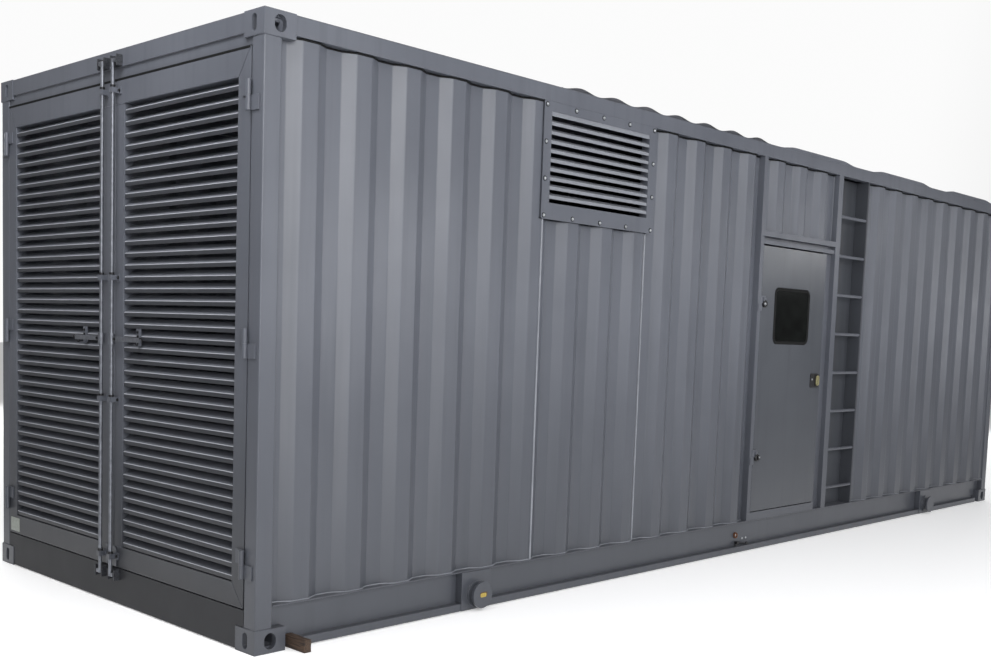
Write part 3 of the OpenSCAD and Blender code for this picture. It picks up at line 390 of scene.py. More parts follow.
# plain steel left to rust: brown crust with darker pits and no shine
rustedSteel = mottled("rustedSteel", "#2a1a13", "#74482c", 7, 0.85, 0.0012)
# aluminium, anodised and bare: even, pale and satin
anodisedPlate = mottled("anodisedAluminium", "#8a8f88", "#9ca19a", 18, 0.42, 0.00005, metallic=0.6)
# float glass over a dark room: nearly black, with reflections that a dusty film weakens
tintedGlass = mottled("tintedGlass", "#040505", "#0c0f0e", 90, 0.14, 0.0, ior=1.52, shine=0.14)


def sawnTimberLook():
    # sawn softwood, old and soaked: dark brown, long grain along y, cracks and a rough skin
    material, tree, shader = newMaterial("sawnTimber")
    place = addNode(tree, "TexCoord").outputs["Object"]
    along = addNode(tree, "Mapping", {"Scale": (perMm(7), perMm(140), perMm(7))}, {"Vector": place})
    grain = addNode(tree, "TexNoise", {"Scale": 1.0, "Detail": 6.0, "Distortion": 0.6},
                    {"Vector": along.outputs[0]})
    tone = addNode(tree, "MapRange", {"From Min": 0.36, "From Max": 0.66}, {"Value": grain.outputs[0]})
    colour = addNode(tree, "Mix", {"data_type": "RGBA", 6: toLinear("#1c1511"), 7: toLinear("#503d2f")},
                     {0: tone.outputs[0]})
    tree.links.new(colour.outputs[2], shader.inputs["Base Color"])
    rise = addNode(tree, "Bump", {"Strength": 0.8, "Distance": 0.003}, {"Height": grain.outputs[0]})
    tree.links.new(rise.outputs[0], shader.inputs["Normal"])
    shader.inputs["Roughness"].default_value = 0.86
    return material


def chequeredFloorLook():
    # rolled chequer plate under paint: raised lozenges about 28 mm apart, worn paler on top
    material, tree, shader = newMaterial("rolledChequerPlate")
    place = addNode(tree, "TexCoord").outputs["Object"]
    turnedPlace = addNode(tree, "Mapping", {"Rotation": (0, 0, math.radians(45)),
                                            "Scale": (perMm(28), perMm(28), 1.0)}, {"Vector": place})
    lozenge = addNode(tree, "TexVoronoi", {"Scale": 1.0, "Randomness": 0.0},
                      {"Vector": turnedPlace.outputs[0]})
    raised = addNode(tree, "MapRange", {"From Min": 0.2, "From Max": 0.3, "To Min": 1.0, "To Max": 0.0},
                     {"Value": lozenge.outputs["Distance"]})
    colour = addNode(tree, "Mix", {"data_type": "RGBA", 6: toLinear("#3a3c41"), 7: toLinear("#5a5d63")},
                     {0: raised.outputs[0]})
    tree.links.new(colour.outputs[2], shader.inputs["Base Color"])
    rise = addNode(tree, "Bump", {"Strength": 0.6, "Distance": 0.0015}, {"Height": raised.outputs[0]})
    tree.links.new(rise.outputs[0], shader.inputs["Normal"])
    shader.inputs["Roughness"].default_value = 0.55
    return material


sawnTimber = sawnTimberLook()
chequerPlate = chequeredFloorLook()
print("materials made")

# steel that keeps its CAD shape, with its edges and folds rounded
bodyOf = {n: b for b, members in frame["record"]["behaviour"]["bodies"].items() for n in members}

# node: piece, radius, steps; radii in metres
edgeRounding = {
    "corner_castings": ("cornerCastings", 0.004, 3),
    "bottom_side_rails": ("bottomSideRails", 0.0022, 2),
    "top_side_rails": ("topSideRails", 0.006, 3),
    "end_headers": ("endHeaders", 0.005, 3),
    "end_sills": ("endSills", 0.005, 3),
    "roof_front": ("roofFront", 0.0008, 1),
    "roof_middle": ("roofWaves", 0.0, 1),
    "vent_frame": ("ventFrame", 0.001, 2),
    "vent_blades": ("ventBlades", 0.004, 3),
    "service_door_frame": ("serviceDoorFrame", 0.003, 2),
    "ladder_bay": ("ladderBay", 0.0015, 2),
    "ladder_rungs": ("ladderRungs", 0.002, 2),
    "lifting_lugs": ("liftingLugs", 0.003, 3),
    "lock_bar_keepers": ("lockBarKeepers", 0.0015, 2),
    "post_hinges": ("postHinges", 0.0014, 2),
    "door_frame_hinges": ("doorFrameHinges", 0.001, 2),
}
for side in ("left", "right"):
    for ending, piece, radius, steps in (("_leaf_frame", "LeafFrame", 0.003, 3),
                                         ("_leaf_blades", "LeafBlades", 0.006, 4),
                                         ("_leaf_hinges", "LeafHinges", 0.0014, 2),
                                         ("_bar_guides", "BarGuides", 0.0015, 2),
                                         ("_lock_bar", "LockBar", 0.0018, 2)):
        edgeRounding[side + ending] = (side + piece, radius, steps)
edgeRounding["service_door"] = ("serviceDoorLeaf", 0.003, 3)
edgeRounding["door_hinges"] = ("serviceDoorHinges", 0.001, 2)
# nodes in another finish, and the angle range of the bend that each louvre blade has
otherFinish = {"end_sills": sillShadePaint, "ladder_bay": recessShadePaint, "vent_blades": ventSheenPaint,
               "left_leaf_blades": bladePaint, "right_leaf_blades": bladePaint,
               "left_lock_bar": barZinc, "right_lock_bar": barZinc, "left_leaf_frame": leafLowShadePaint,
               "right_leaf_frame": leafLowShadePaint, "service_door": doorPaint, "lock_bar_keepers": greasedSteel}
bladeBend = {"left_leaf_blades": (40, 65), "right_leaf_blades": (40, 65), "vent_blades": (30, 75)}
# how far a blade's faces look outwards: more than lip on the lip, between bend and lip on the bend
bladeFaces = {"lip": 0.97, "bend": 0.62, "rise": 0.1, "cheek": 0.7}


def markBlades(shape, axis):
    # bladeTone: red along the bend, green at the foot of the lip; the lip faces down the given axis
    layer = shape.verts.layers.float_color.new("bladeTone")
    lip = -bladeFaces["lip"]
    shape.normal_update()
    for vert in shape.verts:
        turns = [(f.normal[axis], f.normal.z) for f in vert.link_faces
                 if abs(f.normal[1 - axis]) < bladeFaces["cheek"]]
        bend = bool(turns) and all(lip < out < -bladeFaces["bend"] and rise > bladeFaces["rise"]
                                   for out, rise in turns)
        lips = [f for f in vert.link_faces if f.normal[axis] < lip]
        foot = any(vert.co.z < min(v.co.z for v in f.verts) + 1e-4 for f in lips)
        vert[layer] = (float(bend), float(foot), 0.0, 1.0)


for node, (name, radius, steps) in edgeRounding.items():
    shape = nodeShape(node)
    if radius:
        roundEdges(shape, radius, steps, *bladeBend.get(node, ()))
    if node in bladeBend:
        markBlades(shape, 1 if node == "vent_blades" else 0)
    addPiece(name, shape, otherFinish.get(node, greyPaint), bodyOf[node], stands=(node,))

# posts: only the long bends of the pressed section are round
addPiece("cornerPosts", roundEdges(nodeShape("corner_posts"), 0.007, 3, upright=True), greyPaint,
         stands=("corner_posts",))
# long pressings of the rear roof: soft knees
addPiece("roofPressings", roundEdges(nodeShape("roof_rear"), 0.035, 3, 4, 20), greyPaint,
         stands=("roof_rear",))
print("frame steel rounded")

# corrugated sheets: bends of about 20 mm radius
sheets = {"wall_front": "nearSheetFront", "wall_under_vent": "nearSheetUnderVent",
          "wall_middle": "nearSheetMiddle", "wall_over_door": "nearSheetOverDoor",
          "wall_rear": "nearSheetRear", "hidden_side_wall": "hiddenSideSheet",
          "hidden_end_wall": "hiddenEndSheet"}
for node, name in sheets.items():
    addPiece(name, roundEdges(nodeShape(node), 0.005, 3, 15, 45, upright=True), greyPaint,
             sharp=50, stands=(node,))
print("corrugated sheets folded")

# weld beads and sealed joints: radii in metres; ends and rings stay clear of open edges
beads = {"sheetFoot": 0.0038, "headShadowMastic": 0.0055, "joint": 0.009, "casting": 0.0032, "roof": 0.005,
         "leaf": 0.0022}
beadClear = {"end": 0.004, "ring": 0.001, "foot": 0.0012}


def sheetEdge(node, level, side, along):
    # outermost points of a folded sheet at one height, in order along the wall
    across = 1 - along
    found = {}
    for vert in frame["nodes"][node].data.vertices:
        if abs(vert.co.z - level) < 1e-4:
            key = round(vert.co[along], 4)
            if key not in found or vert.co[across] * side > found[key][across] * side:
                found[key] = vert.co.copy()
    return [found[key] for key in sorted(found)]


# sealed foot of each sheet, pale as a painted highlight
shape = bmesh.new()
lift = Vector((0, 0, beadClear["foot"]))
for node, side, along in (("wall_front", -1, 0), ("wall_under_vent", -1, 0), ("wall_middle", -1, 0),
                          ("wall_over_door", -1, 0), ("wall_rear", -1, 0), ("hidden_side_wall", 1, 0),
                          ("hidden_end_wall", 1, 1)):
    swept(shape, [p + lift for p in sheetEdge(node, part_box(node)[0].z, side, along)],
          beads["sheetFoot"], 6)
addPiece("sheetFootBeads", shape, highlightSealant, sharp=70)

# black mastic bead along the sheets' heads, under the top rails: it stands for the shade under the rails as
# a painted shadow line
shape = bmesh.new()
for node in ("wall_front", "wall_middle", "wall_over_door", "wall_rear"):
    drop = Vector((0, 0, -beads["headShadowMastic"]))
    swept(shape, [p + drop for p in sheetEdge(node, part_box(node)[1].z, -1, 0)], beads["headShadowMastic"], 6)
addPiece("sheetHeadShadowMastic", shape, extrudedRubber, sharp=70)

# upright joints on both sides of the panel under the vent, pale as a painted highlight
shape = bmesh.new()
low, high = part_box("wall_under_vent")
line = sheetEdge("wall_under_vent", low.z, -1, 0)
for point in (line[0], line[-1]):
    swept(shape, [(point.x, point.y, low.z), (point.x, point.y, high.z - beadClear["ring"])],
          beads["joint"], 10, flat=0.8)
addPiece("panelJointBeads", shape, highlightSealant, sharp=70)

# round the posts at the castings, and round the top rails' ends
shape = bmesh.new()
for low, high in solidsOf("corner_posts"):
    for level in (low.z + beadClear["ring"], high.z - beadClear["ring"]):
        swept(shape, [(low.x, low.y, level), (high.x, low.y, level), (high.x, high.y, level),
                      (low.x, high.y, level)], beads["casting"], 6, closed=True)
for low, high in solidsOf("top_side_rails"):
    for x in (low.x + beadClear["ring"], high.x - beadClear["ring"]):
        swept(shape, [(x, low.y, low.z), (x, high.y, low.z), (x, high.y, high.z), (x, low.y, high.z)],
              beads["casting"], 6, closed=True)
addPiece("castingBeads", shape, greyPaint, sharp=70)

# sealed laps across the roof
shape = bmesh.new()
roofLow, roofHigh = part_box("roof_front")
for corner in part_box("roof_middle"):
    swept(shape, [(corner.x, roofLow.y + beadClear["end"], roofHigh.z),
                  (corner.x, roofHigh.y - beadClear["end"], roofHigh.z)], beads["roof"], flat=0.6)
addPiece("roofLapBeads", shape, greyPaint, sharp=70)

# joints of the leaves' stiles and rails: square at the meeting stiles, mitred at the outer ones
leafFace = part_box("left_leaf_frame")[0].x
corners = [v.co for v in frame["nodes"]["left_leaf_frame"].data.vertices if abs(v.co.x - leafFace) < 1e-4]
ys = sorted({round(c.y, 4) for c in corners})
zs = sorted({round(c.z, 4) for c in corners})
for side, sign in (("left", 1), ("right", -1)):
    shape = bmesh.new()
    for inner, outer in ((zs[1], zs[0]), (zs[2], zs[3])):
        for start, end, level in ((ys[0] + beadClear["end"], ys[1], inner),
                                  (ys[2], ys[3] - beadClear["end"], outer)):
            swept(shape, [(leafFace, sign * start, inner), (leafFace, sign * end, level)], beads["leaf"], 6,
                  flat=0.6)
    addPiece(side + "LeafJointBeads", shape, greyPaint, side + "_leaf", sharp=70)
print("beads run")

# vent fixings: dome heads round its frame, on black rubber washers that draw a painted shadow round each
# head
ventBolts = {"inset": 0.021, "washer": 0.0145, "washerThick": 0.0016, "dome": 0.009, "rise": 0.006}
low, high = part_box("vent_frame")
x0, x1 = low.x + ventBolts["inset"], high.x - ventBolts["inset"]
z0, z1 = low.z + ventBolts["inset"], high.z - ventBolts["inset"]
places = [(x0 + (x1 - x0) * k / 4, z) for k in range(5) for z in (z0, z1)]
places += [(x, z0 + (z1 - z0) * k / 3) for k in (1, 2) for x in (x0, x1)]
heads, shadowWashers = bmesh.new(), bmesh.new()
washer, thick, dome = ventBolts["washer"], ventBolts["washerThick"], ventBolts["dome"]
for x, z in places:
    turned(shadowWashers, [(0, 0), (washer, 0), (washer, thick), (0, thick)], (x, low.y, z), (0, -1, 0), 24)
    domeBolt(heads, (x, low.y - thick, z), (0, -1, 0), dome + 0.001, dome, ventBolts["rise"])
addPiece("ventBolts", heads, zincPlate)
addPiece("ventWasherShadows", shadowWashers, extrudedRubber)

# seals behind the doors: strips that reach beyond the leaf's edges
sealLook = {"lap": 0.022, "gap": 0.0015, "thick": 0.008, "beyond": 0.006, "edge": 0.002}


def sealRing(name, lowA, highA, lowZ, highZ, leafBack, axis):
    # flat strip seal round a leaf that lies along x (axis 0) or y (axis 1)
    shape = bmesh.new()
    lap, beyond = sealLook["lap"], sealLook["beyond"]
    near = leafBack + sealLook["gap"]
    far = near + sealLook["thick"]
    lowA, highA, lowZ, highZ = lowA - beyond, highA + beyond, lowZ - beyond, highZ + beyond
    for a0, a1, b0, b1 in ((lowA, lowA + lap, lowZ, highZ), (highA - lap, highA, lowZ, highZ),
                           (lowA + lap, highA - lap, lowZ, lowZ + lap),
                           (lowA + lap, highA - lap, highZ - lap, highZ)):
        if axis == 0:
            slab(shape, (a0, near, b0), (a1, far, b1), sealLook["edge"])
        else:
            slab(shape, (near, a0, b0), (far, a1, b1), sealLook["edge"])
    addPiece(name, shape, extrudedRubber)


low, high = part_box("service_door")
sealRing("serviceDoorSeal", low.x, high.x, low.z, high.z, high.y, 0)
low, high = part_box("left_leaf_frame")
sealRing("leafSeal", -high.y, high.y, low.z, high.z, high.x, 1)

# rubber lips along the leaves' heads, just proud of their faces: black, they draw the head gap as a painted
# shadow line
headShadowSeal = {"below": 0.008, "above": 0.004, "proud": 0.0016, "deep": 0.016, "end": 0.006, "edge": 0.0012}
for side in ("left", "right"):
    low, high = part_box(side + "_leaf_frame")
    shape = bmesh.new()
    slab(shape, (leafFace - headShadowSeal["proud"], low.y + headShadowSeal["end"], high.z - headShadowSeal["below"]),
         (leafFace + headShadowSeal["deep"], high.y - headShadowSeal["end"], high.z + headShadowSeal["above"]),
         headShadowSeal["edge"])
    addPiece(side + "LeafHeadShadowSeal", shape, extrudedRubber, side + "_leaf")

# foot plates over the meeting stiles: thin, the right one with its outer top corner cut off
footPlate = {"thick": 0.0028, "low": 0.210, "high": 0.322, "cut": 0.020, "inner": 0.007, "edge": 0.0008,
             "wide": {"left": 0.040, "right": 0.072}}
for side in ("left", "right"):
    wide, tall = footPlate["wide"][side], footPlate["high"] - footPlate["low"]
    # outline towards -y and up, from the corner nearest +y
    if side == "left":
        start, outline = footPlate["inner"] + wide, [(0, 0), (wide, 0), (wide, tall), (0, tall)]
    else:
        cut, start = footPlate["cut"], -footPlate["inner"]
        outline = [(0, 0), (wide, 0), (wide, tall - cut), (wide - cut, tall), (0, tall)]
    shape = bmesh.new()
    plate(shape, outline, (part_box(side + "_leaf_frame")[0].x, start, footPlate["low"]), Vector((0, -1, 0)),
          Vector((0, 0, 1)), footPlate["thick"], footPlate["edge"])
    addPiece(side + "FootPlate", shape, greyPaint, side + "_leaf")

# lock gear of the louvred doors; bolts are (across flats, head, washer)
gear = {"bolt": (0.013, 0.0055, 0.009), "flange": 0.006, "keeperInset": 0.013, "keeperRise": 0.019,
        "guideInset": 0.011, "barBack": 0.017, "barFromMiddle": 0.057}
collar = {"bore": 0.0102, "radius": 0.0145, "high": 0.012, "overMiddle": 0.0148}
hasp = {"beyond": 0.2, "face": 0.0121, "eyeHole": 0.0035, "eye": 0.0075, "eyeHigh": 0.003, "eyeDown": 0.018,
        "boltDown": 0.042, "bolt": (0.010, 0.004, 0.008)}
# hook and shackle: (outwards, up) from the end of the handle
handle = {"height": 1.462, "hook": ((-0.012, 0.006), (0.008, 0.012), (0.022, 0.007), (0.026, -0.008)),
          "hookBar": 0.0042, "shackle": 0.0125, "shackleBar": 0.003, "shackleAt": (-0.030, -0.016),
          "pivotOut": 0.040, "pivotBack": 0.004, "pivot": (0.013, 0.005, 0.0095)}

shape = bmesh.new()
for low, high in solidsOf("lock_bar_keepers"):
    middle = (low.z + high.z) / 2
    away = 1 if low.y > 0 else -1
    y = (high.y if away > 0 else low.y) - away * gear["keeperInset"]
    for z in (middle - gear["keeperRise"], middle + gear["keeperRise"]):
        hexBolt(shape, (high.x - gear["flange"], y, z), (-1, 0, 0), *gear["bolt"])
addPiece("keeperBolts", shape, wornSteel)

for side, sign in (("left", 1), ("right", -1)):
    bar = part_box(side + "_lock_bar")
    barX, barY = bar[1].x - gear["barBack"], sign * gear["barFromMiddle"]
    bolts, fittings = bmesh.new(), bmesh.new()
    for low, high in solidsOf(side + "_bar_guides"):
        middle = (low.z + high.z) / 2
        y = (low.y + high.y) / 2
        if abs(y) > hasp["beyond"]:
            # hasp: an eye near its top and a fixing below it
            hole, eye, rise = hasp["eyeHole"], hasp["eye"], hasp["eyeHigh"]
            turned(bolts, [(hole, 0), (eye, 0), (eye, rise), (hole, rise), (hole, 0)],
                   (high.x - hasp["face"], y, high.z - hasp["eyeDown"]), (-1, 0, 0))
            hexBolt(bolts, (high.x - hasp["face"], y, high.z - hasp["boltDown"]), (-1, 0, 0), *hasp["bolt"])
            continue
        y = (high.y if sign > 0 else low.y) - sign * gear["guideInset"]
        hexBolt(bolts, (high.x - gear["flange"], y, middle), (-1, 0, 0), *gear["bolt"])
        # collar that keeps the bar from sliding, just over the saddle
        bore, radius, tall = collar["bore"], collar["radius"], collar["high"]
        turned(fittings, [(bore, 0), (radius, 0), (radius, tall), (bore, tall), (bore, 0)],
               (barX, barY, middle + collar["overMiddle"]), (0, 0, 1), 24)
    addPiece(side + "GearBolts", bolts, wornSteel, side + "_leaf")
    # handle: hooked end, shackle below it, pivot bolt
    end = sign * abs(bar[1].y if sign > 0 else bar[0].y)
    z = handle["height"]
    swept(fittings, [(barX, end + sign * u, z + v) for u, v in handle["hook"]], handle["hookBar"], 10)
    u, v = handle["shackleAt"]
    radius = handle["shackle"]
    ring = [(barX, end + sign * u + radius * math.cos(a), z + v + radius * math.sin(a))
            for a in (2 * math.pi * k / 20 for k in range(20))]
    swept(fittings, ring, handle["shackleBar"], closed=True)
    hexBolt(fittings, (barX - handle["pivotBack"], barY + sign * handle["pivotOut"], z), (-1, 0, 0),
            *handle["pivot"])
    addPiece(side + "BarFittings", fittings, wornSteel, side + "_bar")
print("lock gear fitted")

# service door: hinge caps, window seal and lock; pins are (washer, dome, rise)
hingeCaps = {"shift": 0.052, "sink": 0.003, "ring": 0.027, "hole": 0.015, "rise": 0.008, "dish": 0.38,
             "pin": (0.0128, 0.012, 0.005), "lobe": (0.026, 0.040, 0.012), "lobeShift": 0.013,
             "lobeThick": 0.010, "lobeEdge": 0.003, "lobePin": (0.0075, 0.0065, 0.003),
             "lobePinAt": (0.016, -0.0095, 0.003)}
across, up = Vector((1, 0, 0)), Vector((0, 0, 1))
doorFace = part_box("service_door")[0].y
ring, hole, rise = hingeCaps["ring"], hingeCaps["hole"], hingeCaps["rise"]
dish = rise * hingeCaps["dish"]
caps, pins = bmesh.new(), bmesh.new()
for n, (low, high) in enumerate(solidsOf("door_hinges")):
    back = low.y + hingeCaps["sink"]
    spot = Vector((low.x + hingeCaps["shift"], back, low.z - hingeCaps["sink"]))
    turned(caps, [(0, back - doorFace), (ring, back - doorFace), (ring, rise * 0.5), (ring - 0.004, rise),
                  (hole + 0.002, rise), (hole, rise * 0.4), (0, rise * 0.4)], spot, (0, -1, 0), 36)
    if n:
        # upper cap: a domed pin shows in the ring
        domeBolt(pins, spot - Vector((0, dish, 0)), (0, -1, 0), *hingeCaps["pin"])
    else:
        # lower cap: closed by a lobe with a small pin at its right
        plate(caps, roundedOutline(*hingeCaps["lobe"]), spot + Vector((hingeCaps["lobeShift"], -dish, 0)),
              across, up, hingeCaps["lobeThick"], hingeCaps["lobeEdge"])
        dx, dy, dz = hingeCaps["lobePinAt"]
        domeBolt(pins, spot + Vector((dx, -dish + dy, dz)), (0, -1, 0), *hingeCaps["lobePin"])
addPiece("serviceHingeCaps", caps, mouldedPlastic, "service_door")
addPiece("serviceHingePins", pins, zincPlate, "service_door")

# window: bulb gasket in a rounded rectangle
low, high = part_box("window_gasket")
windowSeal = {"bead": 0.0125, "corner": 0.052, "middleBack": 0.0085}
bead = windowSeal["bead"]
shape = bmesh.new()
outline = roundedOutline(high.x - low.x - 2 * bead, high.z - low.z - 2 * bead,
                         windowSeal["corner"] - bead, 8)
centre = (low + high) / 2
swept(shape, [(centre.x + u, high.y - windowSeal["middleBack"], centre.z + v) for u, v in outline],
      bead, 12, closed=True)
addPiece("windowGasket", shape, extrudedRubber, "service_door", sharp=60,
         stands=("window_gasket",))

# lock: black body, an oval loop handle in its right half and a small pin at its left
lockLook = {"plateThick": 0.006, "corner": 0.014, "frame": (0.056, 0.096, 0.020), "frameThick": 0.004,
            "loopWide": 0.046, "loopHigh": 0.084, "loopCorner": 0.0135, "loopShift": 0.026,
            "loopBar": 0.0075, "loopOut": 0.009, "pad": (0.022, 0.060, 0.009), "padOut": 0.0035,
            "padThick": 0.003, "pinShift": -0.046, "pinUp": 0.010, "pin": (0.0085, 0.0075, 0.003)}
low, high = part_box("door_lock")
centre = (low + high) / 2
face = high.y - lockLook["plateThick"] + 0.0001
loopX, bar = centre.x + lockLook["loopShift"], lockLook["loopBar"]
shape = bmesh.new()
plate(shape, roundedOutline(high.x - low.x, high.z - low.z, lockLook["corner"]),
      (centre.x, high.y, centre.z), across, up, lockLook["plateThick"], 0.002)
plate(shape, roundedOutline(*lockLook["frame"]), (loopX, face, centre.z), across, up,
      lockLook["frameThick"], 0.0015)
addPiece("serviceDoorLock", shape, mouldedPlastic, "service_door", stands=("door_lock",))
shape = bmesh.new()
loop = roundedOutline(lockLook["loopWide"] - 2 * bar, lockLook["loopHigh"] - 2 * bar,
                      lockLook["loopCorner"], 7)
swept(shape, [(loopX + u, face - lockLook["loopOut"], centre.z + v) for u, v in loop], bar, 12, closed=True)
plate(shape, roundedOutline(*lockLook["pad"]), (loopX, face - lockLook["padOut"], centre.z), across, up,
      lockLook["padThick"], 0.001)
addPiece("lockLoopHandle", shape, oliveNylon, "service_door")
shape = bmesh.new()
domeBolt(shape, (centre.x + lockLook["pinShift"], face, centre.z + lockLook["pinUp"]), (0, -1, 0),
         *lockLook["pin"])
addPiece("lockPin", shape, zincPlate, "service_door")
print("service door fitted")

# lifting lug near the louvred end: a plain mark on its disc, with a dark brown rim round it, wider above, as
# a painted shadow of a hole's rim
lugMark = {"wide": 0.046, "high": 0.023, "corner": 0.008, "shift": 0.002, "thick": 0.0013, "edge": 0.0004,
           "shadowWider": 0.010, "shadowHigher": 0.004, "shadowAt": (0.003, 0.0002, 0.004),
           "shadowThick": 0.0008, "shadowEdge": 0.0003}
# the lugs' outermost points are the rim of a disc's face
rimPoints = [v.co for v in frame["nodes"]["lifting_lugs"].data.vertices]
face = min(c.y for c in rimPoints)
rim = [c.z for c in rimPoints if c.y < face + 1e-4]
low, high = next(b for b in solidsOf("lifting_lugs") if b[0].y < 0 and b[0].x < 0)
spot = Vector((((low + high) / 2).x + lugMark["shift"], low.y, (min(rim) + max(rim)) / 2))
marks, edges = bmesh.new(), bmesh.new()
wide, tall, corner = lugMark["wide"], lugMark["high"], lugMark["corner"]
plate(edges, roundedOutline(wide + lugMark["shadowWider"], tall + lugMark["shadowHigher"], corner),
      spot + Vector(lugMark["shadowAt"]), across, up, lugMark["shadowThick"], lugMark["shadowEdge"])
plate(marks, roundedOutline(wide, tall, corner), spot, across, up, lugMark["thick"], lugMark["edge"])
addPiece("lugMarkShadowRims", edges, holeShadowBrown)
addPiece("lugMarks", marks, yellowEnamel)

# drain: rusted socket, and the valve with its lever below it; fixings are (washer, dome, rise)
drain = {"socket": 0.0225, "wall": 0.0085, "plug": (0.0115, 0.0085, 0.004), "plugOut": 0.0042,
         "fixing": (0.009, 0.0075, 0.0045), "fixingsAt": (0.103, 0.152), "fixingDown": 0.034,
         "cover": (0.034, 0.028, 0.012), "coverAt": (0.040, -0.030), "stemShift": 0.013,
         "leverLong": 0.118, "leverBar": 0.0048, "knob": 0.0125}
low, high = solidsOf("drain_fittings")[1]
centre = (low + high) / 2
outer, inner = drain["socket"], drain["socket"] - drain["wall"]
shape = bmesh.new()
turned(shape, [(0, 0), (outer, 0), (outer, 0.010), (outer - 0.002, 0.0135), (inner + 0.0015, 0.0135),
               (inner, 0.004), (0, 0.004)], (centre.x, high.y, centre.z), (0, -1, 0), 36)
addPiece("drainSocket", shape, rustedSteel, stands=("drain_fittings",))
# plug in the socket and two small fixings beside it, then the round cover under the valve
shape = bmesh.new()
domeBolt(shape, (centre.x, high.y - drain["plugOut"], centre.z), (0, -1, 0), *drain["plug"])
for dx in drain["fixingsAt"]:
    domeBolt(shape, (centre.x + dx, high.y, centre.z - drain["fixingDown"]), (0, -1, 0), *drain["fixing"])
addPiece("drainPlug", shape, zincPlate)
cockLow, cockHigh = solidsOf("drain_fittings")[0]
cock = (cockLow + cockHigh) / 2
shape = bmesh.new()
dx, dz = drain["coverAt"]
domeBolt(shape, (cockLow.x + dx, high.y, cock.z + dz), (0, -1, 0), *drain["cover"])
addPiece("drainCover", shape, greyPaint)
# valve stem and nut, cranked lever with a ball at its end, all blackened
shape = bmesh.new()
stem = Vector((cockLow.x + drain["stemShift"], cockHigh.y, cock.z))
turned(shape, [(0, 0), (0.010, 0), (0.010, 0.016), (0.013, 0.018), (0.013, 0.026), (0.008, 0.029),
               (0, 0.029)], stem, (0, -1, 0))
reach = stem + Vector((0, -0.0255, 0))
swept(shape, [reach + Vector((-0.036, 0.004, -0.020)), reach + Vector((-0.014, 0, -0.004)),
              reach + Vector((0.030, 0, 0.001)), reach + Vector((drain["leverLong"], 0, -0.020))],
      drain["leverBar"], 10)
end = reach + Vector((drain["leverLong"], 0, -0.014))
knob = drain["knob"]
ball = [(knob * math.sin(a), -knob * math.cos(a)) for a in (math.pi * k / 8 for k in range(1, 8))]
turned(shape, [(0, -knob)] + ball + [(0, knob)], end, (0, -1, 0))
addPiece("drainLever", shape, mouldedPlastic)
print("rail fittings made")

# packing block: sawn timber, uneven and split; its foot stays flat
timber = {"edge": 0.004, "cuts": 5, "wavesPerMetre": 22.0, "waveDeep": 0.004, "gougesPerMetre": 70.0,
          "gougeDeep": 0.0015, "flatFoot": 0.012}
low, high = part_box("packing_block")
shape = bmesh.new()
slab(shape, low, high, timber["edge"])
bmesh.ops.subdivide_edges(shape, edges=shape.edges[:], cuts=timber["cuts"], use_grid_fill=True)
for vert in shape.verts:
    shift = (noise.noise(vert.co * timber["wavesPerMetre"]) * timber["waveDeep"]
             + noise.noise(vert.co * timber["gougesPerMetre"]) * timber["gougeDeep"])
    inward = (Vector(((low.x + high.x) / 2, vert.co.y, (low.z + high.z) / 2)) - vert.co).normalized()
    if vert.co.z > low.z + timber["flatFoot"]:
        vert.co += inward * abs(shift)
addPiece("packingTimber", shape, sawnTimber, sharp=50, stands=("packing_block",))

# bare plate with blind rivets
plainPlate = {"corner": 0.004, "thick": 0.0014, "edge": 0.0004, "rivetInset": 0.012, "rivetBack": 0.0012}
low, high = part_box("bare_plate")
centre = (low + high) / 2
shape = bmesh.new()
plate(shape, roundedOutline(high.y - low.y, high.z - low.z, plainPlate["corner"]),
      (high.x, centre.y, centre.z), Vector((0, -1, 0)), up, plainPlate["thick"], plainPlate["edge"])
inset = plainPlate["rivetInset"]
for dy in (-1, 1):
    for dz in (-1, 1):
        turned(shape, [(0, 0), (0.0026, 0), (0.0021, 0.0011), (0, 0.0015)],
               (high.x - plainPlate["rivetBack"], centre.y + dy * (high.y - low.y - inset) / 2,
                centre.z + dz * (high.z - low.z - inset) / 2), (-1, 0, 0), 12)
addPiece("barePlate", shape, anodisedPlate, "left_leaf", stands=("bare_plate",))

# CAD nodes shown as they are, in their own finish
for node, material in (("floor", chequerPlate), ("cross_members", underCoat),
                       ("window_glass", tintedGlass)):
    frame["nodes"][node].data.materials[0] = material
print("all pieces made")

# studio: floor, surround, softboxes and camera
studio = {"floor": "#f6f6f7", "floorAhead": "#cacacc", "floorSize": 60.0, "floorDrop": 0.0005, "glow": 0.25,
          "glowAhead": 0.1, "backdrop": 0.97, "surround": 0.36, "overhead": 0.17, "endwards": 0.55,
          "farwards": 0.4}
# direction, and where the change along it starts and ends: metres on the floor, cosines in the surround
falls = {"longSide": ((0.352, -0.936, 0.0), 3.0, 6.0), "louvredEnd": ((-0.923, 0.386, 0.0), 4.85, 6.6),
         "behind": ((0.695, 0.719, 0.0), 0.72, 0.86), "endwards": ((-0.94, 0.34, 0.0), 0.25, 0.9),
         "farwards": ((0.9, -0.436, 0.0), 0.62, 0.92)}


def softStep(tree, place, fall, low, high):
    # from low to high along one direction
    towards, start, end = falls[fall]
    reach = addNode(tree, "VectorMath", {"operation": "DOT_PRODUCT", 1: towards}, {0: place})
    step = addNode(tree, "MapRange", {"interpolation_type": "SMOOTHSTEP", "From Min": start,
                                      "From Max": end, "To Min": low, "To Max": high},
                   {"Value": reach.outputs["Value"]})
    return step.outputs[0]


data = bpy.data.meshes.new("studioFloor")
shape = bmesh.new()
bmesh.ops.create_grid(shape, x_segments=1, y_segments=1, size=studio["floorSize"])
shape.to_mesh(data)
shape.free()
